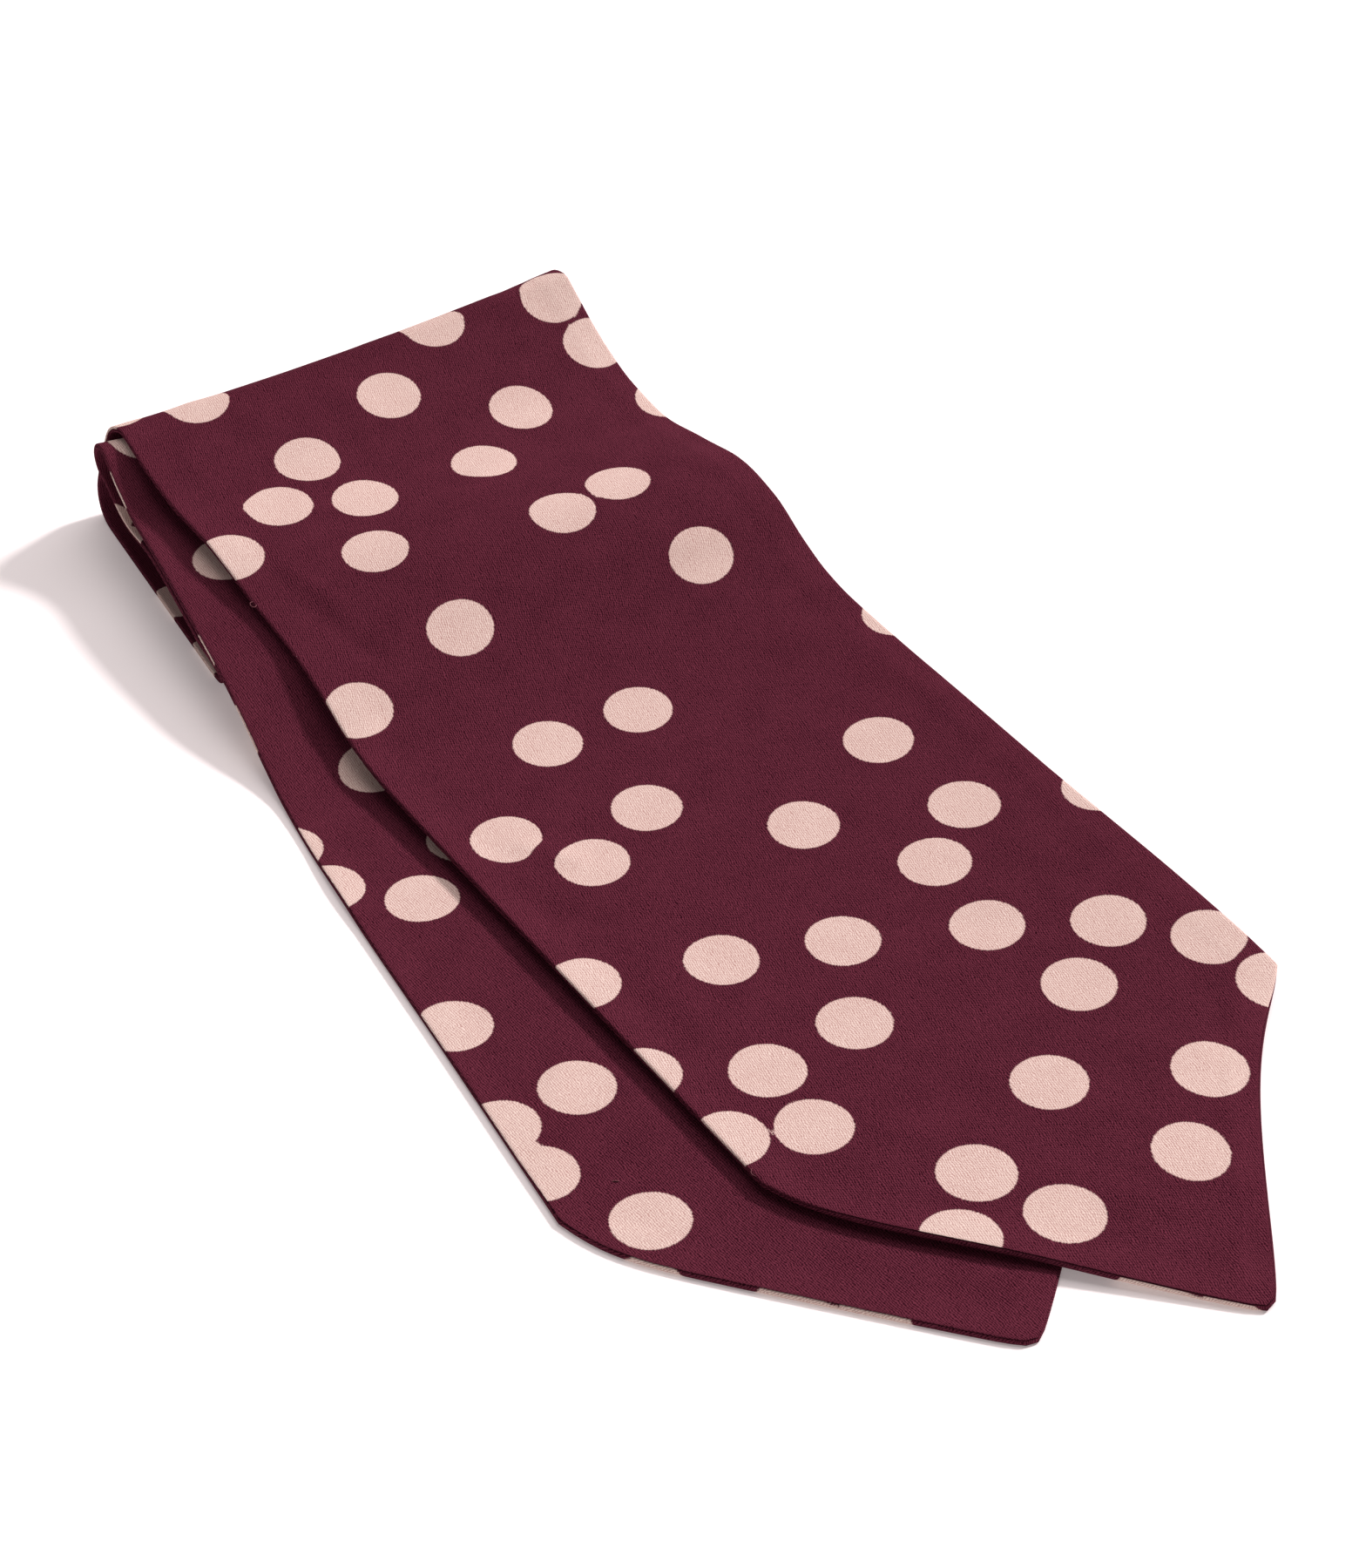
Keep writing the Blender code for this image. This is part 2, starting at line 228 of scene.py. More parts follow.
    def cut(self, share: np.ndarray, point: Point) -> np.ndarray:
        """Find where a pointed end is cut.

        Args:
            share: Shares of the width, from the left edge.
            point: How the end is cut.

        Returns:
            The cut's place along the run at each share.
        """
        side = (share - point.share) * self.width
        rise = np.where(side < 0.0, point.left_rise, point.right_rise)
        cut = np.hypot(rise * side, self.point_nose) - self.point_nose
        cut = cut + point.left_round * np.exp(-share * self.width / self.shoulder_reach)
        cut = cut + point.right_round * np.exp(-(1 - share) * self.width / self.shoulder_reach)
        part = np.clip(side / ((1.0 - point.share) * self.width), 0.0, 1.0)
        return point.along + cut + point.right_bow * np.sin(math.pi * part ** self.bow_peak)

    def top_place(self, along: np.ndarray, share: np.ndarray) -> np.ndarray:
        """Find places on the top run.

        Args:
            along: Each place's row.
            share: Each place's share of the width.

        Returns:
            The places, as across, along and height.
        """
        across = self.read(self.top_left, along) + share * self.width
        reach = along - share * self.read(self.top_skew, along)
        return np.stack([across, reach, self.heights(self.top_rows, along, share)], axis=-1)

    def top_height_over(self, across: np.ndarray, along: np.ndarray) -> np.ndarray:
        """Find the height of the top run's middle plane over the plan, by halving towards the row.

        Args:
            across: The places' reach across the plan.
            along: Their reach along it.

        Returns:
            The heights there.
        """
        share = np.clip((across - self.read(self.top_left, along)) / self.width, 0.0, 1.0)
        low = np.zeros_like(along)
        high = np.full_like(along, self.longest_row)
        for _ in range(self.row_halvings):
            row = (low + high) / 2.0
            short = row - share * self.read(self.top_skew, row) < along
            low = np.where(short, row, low)
            high = np.where(short, high, row)
        return self.heights(self.top_rows, low, share)

    def second_edge(self, along: np.ndarray) -> tuple[np.ndarray, np.ndarray]:
        """Find the second run's left edge and how far its rows are turned.

        Args:
            along: Rows along the run.

        Returns:
            The edge's reach across, and the turn in radians.
        """
        left = self.read([(edge.along, edge.across) for edge in self.second_left], along)
        turn = self.read([(edge.along, edge.turn) for edge in self.second_left], along)
        return left, np.radians(turn)

    def second_place(self, along: np.ndarray, share: np.ndarray) -> np.ndarray:
        """Find places on the second run, which is turned from the top run and kept close under it.

        Args:
            along: Each place's row.
            share: Each place's share of the width.

        Returns:
            The places, as across, along and height.
        """
        left, turn = self.second_edge(along)
        across = left + share * self.width * np.cos(turn)
        reach = along - share * self.width * np.sin(turn)
        own = self.heights(self.second_rows, along, share)
        aside = (across - self.read(self.top_left, reach)) / self.hollow_reach
        near_edge = np.exp(-aside * aside)
        own = own - self.read(self.dip, reach) * near_edge
        under = self.top_height_over(across, reach) - self.layer
        under = under - self.read(self.hollow, reach) * near_edge
        return np.stack([across, reach, np.maximum(np.minimum(own, under), self.rest)], axis=-1)

    def third_height_over(self, across: np.ndarray, along: np.ndarray) -> np.ndarray:
        """Find the height of the third run's middle plane, close under the second run.

        Args:
            across: The places' reach across the plan.
            along: Their reach along it.

        Returns:
            The heights there.
        """
        row = along.copy()
        share = np.full_like(along, 0.5)
        for _ in range(self.turn_passes):
            left, turn = self.second_edge(row)
            share = np.clip((across - left) / (self.width * np.cos(turn)), 0.0, 1.0)
            row = along + share * self.width * np.sin(turn)
        part = np.clip((row - self.fold_opens) / (self.second_far - self.fold_opens), 0.0, 1.0)
        opening = (self.inner_drop - self.layer) * part * part * (3.0 - 2.0 * part)
        return self.second_place(row, share)[..., 2] - self.layer - opening

    def hidden_place(self, row: np.ndarray, share: np.ndarray, left: np.ndarray) -> np.ndarray:
        """Find plan places on the hidden runs, whose rows are slanted like the second run's.

        Args:
            row: Each place's row.
            share: Each place's share of the width.
            left: The run's left edge there.

        Returns:
            The places, as across and along.
        """
        across = left + share * self.width
        slant = np.tan(np.radians(self.read(self.hidden_slant, row)))
        reach = row - (across - self.second_left[-1].across) * slant
        return np.stack([across, reach], axis=-1)


@dataclass(frozen=True)
class Crease:
    """A soft ridge or trough on one stretch, from one place to another."""

    run: Run
    start: tuple[float, float]
    end: tuple[float, float]
    height: float
    breadth: float
    bow: float = 0.0
    fade_power: float = 0.7
    end_margin: float = 0.02

    def lift(self, along: np.ndarray, across: np.ndarray) -> np.ndarray:
        """How far the crease lifts or sinks the cloth at places in the plan.

        Args:
            along: The places' reach along the run.
            across: The places' reach across it.

        Returns:
            The lift in millimetres, below zero in a trough.
        """
        line = np.array([self.end[0] - self.start[0], self.end[1] - self.start[1]])
        length = float(np.hypot(line[0], line[1]))
        line = line / length
        ahead = (along - self.start[0]) * line[0] + (across - self.start[1]) * line[1]
        aside = -(along - self.start[0]) * line[1] + (across - self.start[1]) * line[0]
        part = np.clip(ahead / length, 0.0, 1.0)
        aside = aside - self.bow * np.sin(math.pi * part)
        past = np.maximum(np.abs(ahead - length / 2.0) - length / 2.0, 0.0)
        inside = np.clip(part, self.end_margin, 1.0 - self.end_margin)
        fade = np.sin(math.pi * inside) ** self.fade_power
        fade = fade * np.exp(-(past / self.breadth) ** 2)
        return self.height * fade * np.exp(-(aside / self.breadth) ** 2)


@dataclass(frozen=True)
class Dot:
    """One dot, centred at a place on the cloth; some have a blunt corner, as if cut by hand."""

    length: float
    width: float
    corner: float = 0.0
    turn: float = 0.0
    radius: float = 7.5


@dataclass(frozen=True)
class SeamPath:
    """Where the sewn seam runs in the edge's height, as shares of half the wall, up to the face."""

    level: float = 0.02
    limit: float = 0.9
    slow_wander: tuple[float, float] = (0.10, 23.0)
    quick_wander: tuple[float, float] = (0.05, 9.1)
    top_end: float = 66.0
    top_end_rise: float = 0.86
    second_end: float = 80.0
    second_end_drop: float = 0.3
    second_run_drop: float = 0.45
    end_fade: float = 10.0
    run_fade: float = 14.0


@dataclass
class ScarfCloth:
    """The whole strip of two-ply cloth: its folded rows, rolled sewn edge, dots and creases."""

    form: FoldedForm
    creases: Sequence[Crease]
    chart: "DotChart"
    columns: int = 74
    crowding: float = 0.22
    roll: float = 1.0
    middle_wall: float = 1.16
    hem_reach: float = 7.5
    row_step: float = 1.75
    fold_step: float = 1.5
    hidden_step: float = 2.4
    point_rows: int = 46
    flat_end: float = 200.0
    top_shoulder: float = 84.0
    second_shoulder: float = 106.0
    datum: float = 150.0
    cut_probe: float = 0.5
    least_step: float = 0.05
    outer_counts: tuple[int, int, int] = (8, 11, 9)
    near_count: int = 17
    inner_count: int = 15
    soften_passes: int = 4
    soften_reach: int = 90
    outward_passes: int = 3
    tiny: float = 1e-12
    roll_angles: tuple[float, ...] = (90.0, 45.0, 0.0, -50.0)
    groove_depth: float = 0.5
    groove_gain: float = 0.3
    groove_run: float = 0.2
    thin_setback: float = 0.55
    wall_fade: float = 3.0
    wall_fade_start: float = 2.0
    # How the hem's lighter tone, partly painted sheen, fades inwards.
    hem_and_painted_sheen_fade: float = 2.5
    side_gap: float = 400.0
    seam: SeamPath = SeamPath()

    def __post_init__(self) -> None:
        """Lay the strip out in rows, and measure it along every column."""
        edge = self.roll / self.form.width
        even = np.linspace(0.0, 1.0, self.columns)
        crowded = even - self.crowding * np.sin(2 * math.pi * even) / (2 * math.pi)
        self.share = edge + (1.0 - 2.0 * edge) * crowded
        top, top_plan = self.lay_run(self.form.top_place, self.form.top_point,
                                     self.top_shoulder, self.form.top_far)
        second = self.lay_run(self.form.second_place, self.form.second_point,
                              self.second_shoulder, self.form.second_far)[0][::-1]
        outer = self.outer_fold(top)
        near_top = self.near_line(upper=True)
        near_low = self.near_line(upper=False)
        bottom = self.straight(outer[-1], near_low, self.hidden_step, self.resting)
        near = self.near_fold(near_low, near_top)
        inner = self.inner_fold(second[0])
        third = self.straight(near_top, inner[0], self.hidden_step, self.form.third_height_over)
        parts = [top, outer, bottom, near, third, inner, second]
        self.rows = self.soften(np.concatenate(parts), len(top), len(second))
        self.spans = {Run.TOP: (0, len(top)),
                      Run.SECOND: (len(self.rows) - len(second), len(self.rows)),
                      Run.FOLD: (len(top), len(top) + len(outer))}
        self.crease_runs()
        self.measure(top_plan)
        self.crease_fold()
        self.measure(top_plan)

    def lay_run(self, place: Callable, point: Point, shoulder: float,
                far: float) -> tuple[np.ndarray, np.ndarray]:
        """Lay one run from its point to its far end.

        Args:
            place: The form's function for a place on the run.
            point: How its pointed end is cut.
            shoulder: The row at which the point's fanned rows end.
            far: The row at its far fold.

        Returns:
            The run's rows of places, and the row number along it of every place.
        """
        reach = self.cut_probe / self.form.width
        low = self.form.cut(self.share - reach, point)
        high = self.form.cut(self.share + reach, point)
        start = self.form.cut(self.share, point) + self.roll * np.hypot(1.0, high - low)
        start = np.minimum(start, shoulder - self.point_rows * self.least_step)
        part = np.arange(self.point_rows)[:, None] / self.point_rows
        fanned = start + (shoulder - start) * part
        flat = np.arange(shoulder, self.flat_end, self.row_step)
        count = round((far - self.flat_end) / self.fold_step)
        stops = np.concatenate([flat, np.linspace(self.flat_end, far, count + 1)])
        along = np.concatenate([fanned, np.repeat(stops[:, None], self.columns, axis=1)])
        share = np.repeat(self.share[None, :], len(along), axis=0)
        places = place(along.ravel(), share.ravel()).reshape(*along.shape, 3)
        return places, along

    def resting(self, across: np.ndarray, along: np.ndarray) -> np.ndarray:
        """Heights of the bottom run, which lies on the floor."""
        return np.full_like(across + along, self.form.rest)

    def straight(self, start: np.ndarray, end: np.ndarray, step: float,
                 height: Callable) -> np.ndarray:
        """Rows that go straight in the plan from one row to another, without both of them.

        Args:
            start: The row to leave from.
            end: The row to reach.
            step: About how far apart the rows are.
            height: The function for their heights over the plan.

        Returns:
            The rows of places between.
        """
        span = float(np.abs(end[:, 1] - start[:, 1]).mean())
        count = max(2, round(span / step))
        part = (np.arange(1, count) / count)[:, None, None]
        plan = start[None, :, :2] * (1 - part) + end[None, :, :2] * part
        across, along = plan[..., 0].ravel(), plan[..., 1].ravel()
        heights = height(across, along).reshape(plan.shape[:2])
        return np.concatenate([plan, heights[..., None]], axis=-1)

    def outer_fold(self, top: np.ndarray) -> np.ndarray:
        """Lay rows from the top run's far end, over the crest, down the leaning back to the floor.

        Args:
            top: The top run's rows.

        Returns:
            The fold's rows of places.
        """
        form = self.form
        end = top[-1]
        heading = np.arctan2(end[:, 2] - top[-2][:, 2], end[:, 1] - top[-2][:, 1])
        lean = math.radians(form.outer_lean)
        radius, low_radius = form.outer_radius, form.outer_low_radius
        crest_count, back_count, lip_count = self.outer_counts
        middle = end[:, 1] + radius * np.sin(heading)
        middle_high = end[:, 2] - radius * np.cos(heading)
        path = []
        for part in np.arange(1, crest_count + 1) / crest_count:
            angle = heading + math.pi / 2.0 + (lean - heading - math.pi / 2.0) * part
            path.append((middle + radius * np.cos(angle), middle_high + radius * np.sin(angle)))
        back, back_high = path[-1]
        low_high = form.rest + low_radius * (1.0 + math.sin(lean))
        low = back + (back_high - low_high) * math.tan(lean)
        for part in np.arange(1, back_count + 1) / back_count:
            path.append((back + (low - back) * part, back_high + (low_high - back_high) * part))
        middle = low - low_radius * math.cos(lean)
        middle_high = form.rest + low_radius
        for part in np.arange(1, lip_count + 1) / lip_count:
            angle = lean + (-math.pi / 2.0 - lean) * part
            path.append((middle + low_radius * math.cos(angle),
                         np.full_like(middle, middle_high + low_radius * math.sin(angle))))
        lip_left = form.read(form.bottom_left, path[-1][0])
        shift = lip_left - end[0, 0] + self.share[0] * form.width
        rows = []
        for number, (along, height) in enumerate(path, 1):
            across = end[:, 0] + shift * number / len(path)
            rows.append(np.stack([across, along, height], axis=-1))
        return np.array(rows)

    def near_line(self, upper: bool) -> np.ndarray:
        """Lay the row where the near fold starts or ends.

        Args:
            upper: Whether it is the third run's row, and not the bottom run's.

        Returns:
            The row's places.
        """
        form = self.form
        row = np.full(self.columns, form.near_fold)
        left = form.second_edge(row)[0] if upper else form.read(form.bottom_left, row)
        plan = form.hidden_place(row, self.share, left)
        pick = form.third_height_over if upper else self.resting
        return np.column_stack([plan, pick(plan[:, 0], plan[:, 1])])

    def near_fold(self, low: np.ndarray, high: np.ndarray) -> np.ndarray:
        """Lay rows round the near fold.

        Args:
            low: The bottom run's row, where they start.
            high: The third run's row, where they end.

        Returns:
            The fold's rows of places.
        """
        rows = []
        for angle in np.radians(np.linspace(-90.0, 90.0, self.near_count)):
            part = (1.0 + math.sin(angle)) / 2.0
            row = low * (1 - part) + high * part
            row[:, 1] -= self.form.near_nose * math.cos(angle)
            rows.append(row)
        return np.array(rows)

    def inner_fold(self, far: np.ndarray) -> np.ndarray:
        """Lay rows from the third run round the inner fold.

        Args:
            far: The second run's far row, where they end.

        Returns:
            The fold's rows of places.
        """
        radius = self.form.inner_drop / 2.0
        rows = []
        for angle in np.radians(np.linspace(-90.0, 90.0, self.inner_count)[:-1]):
            row = far.copy()
            row[:, 1] += radius * math.cos(angle)
            row[:, 2] += radius * (math.sin(angle) - 1.0)
            rows.append(row)
        return np.array(rows)

    def soften(self, rows: np.ndarray, first: int, last: int) -> np.ndarray:
        """Round off the small kinks where the folds and the hidden runs meet.

        Args:
            rows: All rows of the strip.
            first: How many rows the top run has.
            last: How many rows the second run has.

        Returns:
            The same rows, softened between.
        """
        end = len(rows) - last + self.soften_reach
        for _ in range(self.soften_passes):
            inside = (rows[:-2] + 2.0 * rows[1:-1] + rows[2:]) / 4.0
            rows[first + 1:end] = inside[first:end - 1]
        return rows

    def crease_runs(self) -> None:
        """Lay the creases on the two runs that show from above."""
        for crease in self.creases:
            if crease.run is not Run.FOLD:
                start, end = self.spans[crease.run]
                part = self.rows[start:end]
                part[..., 2] += crease.lift(part[..., 1], part[..., 0])
        self.stay_on_floor()

    def crease_fold(self) -> None:
        """Lay the creases on the outer fold's back, out of its own surface."""
        start, end = self.spans[Run.FOLD]
        for crease in self.creases:
            if crease.run is Run.FOLD:
                width = np.broadcast_to(self.share * self.form.width, self.length[start:end].shape)
                lift = crease.lift(self.length[start:end], width)
                self.rows[start:end] += self.normal[start:end] * lift[..., None]
        self.stay_on_floor()

    def stay_on_floor(self) -> None:
        """Keep the troughs from sinking into the floor."""
        self.rows[..., 2] = np.maximum(self.rows[..., 2], self.form.rest)

    def measure(self, top_plan: np.ndarray) -> None:
        """Measure the cloth along every column, and find which way it faces.

        Args:
            top_plan: The row number along the top run of each of its places.
        """
        steps = np.linalg.norm(np.diff(self.rows, axis=0), axis=-1)
        length = np.concatenate([np.zeros((1, self.columns)), np.cumsum(steps, axis=0)])
        for column in range(self.columns):
            at = np.interp(self.datum, top_plan[:, column], length[:len(top_plan), column])
            length[:, column] += self.datum - at
        self.length = length + self.second_shift(length)
        across = np.gradient(self.rows, axis=1)
        down = np.gradient(self.rows, axis=0)
        normal = np.cross(across, down)
        self.normal = normal / np.linalg.norm(normal, axis=-1, keepdims=True)

    def second_shift(self, length: np.ndarray) -> np.ndarray:
        """Find what makes the second run's rows square to its edges, shared out under it.

        Args:
            length: The measured lengths, row by row.

        Returns:
            What to add to each of them.
        """
        first = self.spans[Run.FOLD][1]
        last = self.spans[Run.SECOND][0]
        part = np.clip((np.arange(len(length)) - first) / (last - first), 0.0, 1.0)
        return part[:, None] * (length[last].mean() - length[last])[None, :]

    def locate(self, run: Run, along: float, across: float) -> tuple[float, float]:
        """Turn a place in the plan into a place on the cloth.

        Args:
            run: The run that shows there.
            along: Its reach along the plan.
            across: Its reach across the plan.

        Returns:
            The length along the strip and the width from its left edge, in millimetres.
        """
        start, end = self.spans[run]
        plan = self.rows[start:end, :, :2]
        gap = np.hypot(plan[..., 0] - across, plan[..., 1] - along)
        i, j = np.unravel_index(int(gap.argmin()), gap.shape)
        i = int(np.clip(i, 1, len(plan) - 2))
        j = int(np.clip(j, 1, self.columns - 2))
        frame = np.column_stack([plan[i + 1, j] - plan[i - 1, j], plan[i, j + 1] - plan[i, j - 1]])
        a, b = np.linalg.solve(frame, np.array([across, along]) - plan[i, j])
        length = self.length[start:end]
        width = self.share * self.form.width
        ahead = a * (length[i + 1, j] - length[i - 1, j])
        aside = b * (length[i, j + 1] - length[i, j - 1])
        off_edge = width[j] + b * (width[j + 1] - width[j - 1])
        return float(length[i, j] + ahead + aside), float(off_edge)

    def perimeter(self) -> np.ndarray:
        """List the places once round the strip's rim.

        Returns:
            Their row and column numbers.
        """
        rows, columns = len(self.rows), self.columns
        left = [(i, 0) for i in range(rows)]
        far = [(rows - 1, j) for j in range(1, columns)]
        right = [(i, columns - 1) for i in range(rows - 2, -1, -1)]
        near = [(0, j) for j in range(columns - 2, 0, -1)]
        return np.array(left + far + right + near)

    def outward(self, places: np.ndarray, normals: np.ndarray) -> np.ndarray:
        """Find which way is out of the cloth, in its own plane, once round a closed line.

        Args:
            places: The line's places.
            normals: The cloth's normals there.

        Returns:
            A unit direction for each place.
        """
        ahead = np.roll(places, -1, axis=0) - places
        ahead /= np.linalg.norm(ahead, axis=-1, keepdims=True) + self.tiny
        for _ in range(self.outward_passes):
            ahead = (np.roll(ahead, 1, axis=0) + 2.0 * ahead + np.roll(ahead, -1, axis=0)) / 4.0
        tangent = ahead + np.roll(ahead, 1, axis=0)
        out = np.cross(normals, tangent)
        return out / np.linalg.norm(out, axis=-1, keepdims=True)

    def edge_distance(self) -> np.ndarray:
        """Measure how far each place is from the nearest edge of the cloth, points included.

        Returns:
            The distances, row by row.
        """
        width = self.share * self.form.width
        sides = np.minimum(width, self.form.width - width)
        slope = math.hypot(1.0, self.form.top_point.left_rise)
        near = (self.length - self.length[0]) / slope + self.roll
        far = (self.length[-1] - self.length) / slope + self.roll
        return np.minimum(np.minimum(near, far), sides[None, :])

    def half_wall(self) -> np.ndarray:
        """Halve the wall's thickness: full where the hem is turned in, thinner inside it.

        Returns:
            Half the thickness at each place.
        """
        inside = self.edge_distance() - self.hem_reach + self.wall_fade_start
        part = np.clip(inside / self.wall_fade, 0.0, 1.0)
        part = part * part * (3.0 - 2.0 * part)
        return (self.form.wall * (1.0 - part) + self.middle_wall * part) / 2.0

    def build(self) -> bpy.types.Object:
        """Make the strip as one closed mesh, with its rolled edge and the dots' field on it.

        Returns:
            The strip's object.
        """
        form = self.form
        half = self.half_wall()
        face = self.rows + self.normal * half[..., None]
        back = self.rows - self.normal * half[..., None]
        rows, columns = len(self.rows), self.columns
        width = np.repeat((self.share * form.width)[None, :], rows, axis=0)
        flat = np.stack([width, self.length], axis=-1)
        ring = self.perimeter()
        i, j = ring[:, 0], ring[:, 1]
        out = self.outward(self.rows[i, j], self.normal[i, j])
        flat_ring = np.column_stack([flat[i, j], np.zeros(len(ring))])
        up = np.tile((0.0, 0.0, 1.0), (len(ring), 1))
        flat_out = self.outward(flat_ring, up)[:, :2]
        seam = self.seam_height(flat[i, j], half[i, j])
        points, places, sides, shade = [face.reshape(-1, 3), back.reshape(-1, 3)], [], [], []
        places += [flat.reshape(-1, 2)] * 2
        sides += [np.zeros(rows * columns), np.ones(rows * columns)]
        shade += [np.zeros(rows * columns)] * 2
        profile = self.rim_profile(half[i, j], seam)
        for side, reach, height, run, dark in profile:
            points.append(self.rows[i, j] + out * reach[:, None]
                          + self.normal[i, j] * height[:, None])
            places.append(flat[i, j] + flat_out * run[:, None])
            sides.append(np.full(len(ring), float(side.value)))
            shade.append(np.full(len(ring), dark))
        faces = self.grid_faces(rows, columns)
        count = len(ring)
        first = rows * columns
        loops = [i * columns + j]
        loops += [2 * first + count * k + np.arange(count) for k in range(len(profile))]
        loops.append(first + i * columns + j)
        for upper, lower in zip(loops, loops[1:]):
            faces.append(np.column_stack([upper, np.roll(upper, -1), np.roll(lower, -1), lower]))
        item = self.mesh_object("scarf_cloth", np.concatenate(points), np.concatenate(faces))
        place = np.concatenate(places)
        side = np.concatenate(sides)
        self.write(item, "cloth_place", np.column_stack([place, side * self.side_gap]))
        self.write(item, "dot_field", self.chart.field(self, place, side))
        self.write(item, "seam_shade", np.concatenate(shade))
        # Lighter tone along the hem and over the whole rolled edge: partly the hem's extra fabric,
        # partly painted sheen.
        hem = np.clip((self.hem_reach - self.edge_distance()) / self.hem_and_painted_sheen_fade, 0.0, 1.0).ravel()
        self.write(item, "hem_and_painted_sheen", np.concatenate([hem, hem, np.ones(len(profile) * count)]))
        return item

    def seam_height(self, flat: np.ndarray, half: np.ndarray) -> np.ndarray:
        """Find the sewn seam's height on the edge.

        Args:
            flat: The rim's places on the cloth, as width and length.
            half: Half the wall there.

        Returns:
            The seam's height over the middle plane, in millimetres.
        """
        path = self.seam
        slow, slow_reach = path.slow_wander
        quick, quick_reach = path.quick_wander
        width, length = flat[:, 0], flat[:, 1]
        wander = slow * np.sin(length / slow_reach) + quick * np.sin(length / quick_reach + width)
        total = float(self.length[-1].max())
        start = self.length[self.spans[Run.SECOND][0], 0]
        second_run = np.clip((length - start) / path.run_fade, 0.0, 1.0)
        top_end = np.clip((path.top_end - length) / path.end_fade, 0.0, 1.0)
        second_end = np.clip((length - total + path.second_end) / path.end_fade, 0.0, 1.0)
        seam = (wander + path.level + path.top_end_rise * top_end
                - path.second_run_drop * second_run - path.second_end_drop * second_end)
        return half * np.clip(seam, -path.limit, path.limit)

    def rim_profile(self, half: np.ndarray, seam: np.ndarray) -> list[tuple]:
        """The rolled edge's outline, from the face to the back, with the seam's groove in it.

        Args:
            half: Half the wall at each place on the rim.
            seam: The seam's height over the middle plane there.

        Returns:
            For each line of the outline: its side, reach outwards, height, length run, shade.
        """
        profile = []
        for side, sign in ((Side.FACE, 1.0), (Side.BACK, -1.0)):
            radius = (half - sign * seam) / 2.0
            middle = sign * (half - radius)
            stand = self.roll - self.thin_setback * np.maximum(0.0, 1.0 - 2.0 * radius / half)
            angles = self.roll_angles if side is Side.FACE else self.roll_angles[::-1]
            for angle in np.radians(angles):
                reach = stand - radius + radius * math.cos(angle)
                height = middle + sign * radius * math.sin(angle)
                run = self.roll - radius + radius * (math.pi / 2.0 - angle)
                profile.append((side, reach, height, run, 0.0))
            if side is Side.FACE:
                reach = self.roll - self.groove_depth * (
                    1.0 + self.groove_gain * np.abs(seam) / half)
                # The groove's line gets full painted shade.
                profile.append((side, reach, seam, run + self.groove_run, 1.0))
        return profile

    def grid_faces(self, rows: int, columns: int) -> list[np.ndarray]:
        """List the faces of the strip's two sides, each turned outwards.

        Args:
            rows: How many rows of places a side has.
            columns: How many places a row has.

        Returns:
            The corners of each side's faces.
        """
        corner = (np.arange(rows - 1)[:, None] * columns + np.arange(columns - 1)).ravel()
        face = np.column_stack([corner, corner + 1, corner + columns + 1, corner + columns])
        return [face, face[:, ::-1] + rows * columns]

    def mesh_object(self, name: str, points: np.ndarray, faces: np.ndarray) -> bpy.types.Object:
        """Make a smooth mesh, moved into the frame's place.

        Args:
            name: The piece's name.
            points: Its places, in millimetres.
            faces: The corners of its faces.

        Returns:
            The mesh's object.
        """
        mesh = bpy.data.meshes.new(name)
        mesh.from_pydata(((points - FRAME_MIDDLE) * MM).tolist(), [], faces.tolist())
        mesh.shade_smooth()
        item = bpy.data.objects.new(name, mesh)
        bpy.context.collection.objects.link(item)
        return item

    def write(self, item: bpy.types.Object, name: str, values: np.ndarray) -> None:
        """Write one value or vector for each vertex.

        Args:
            item: The piece.
            name: The attribute's name.
            values: The values, one for each vertex.
        """
        kind, key = ("FLOAT", "value") if values.ndim == 1 else ("FLOAT_VECTOR", "vector")
        attribute = item.data.attributes.new(name, kind, "POINT")
        attribute.data.foreach_set(key, values.astype(np.float32).ravel())


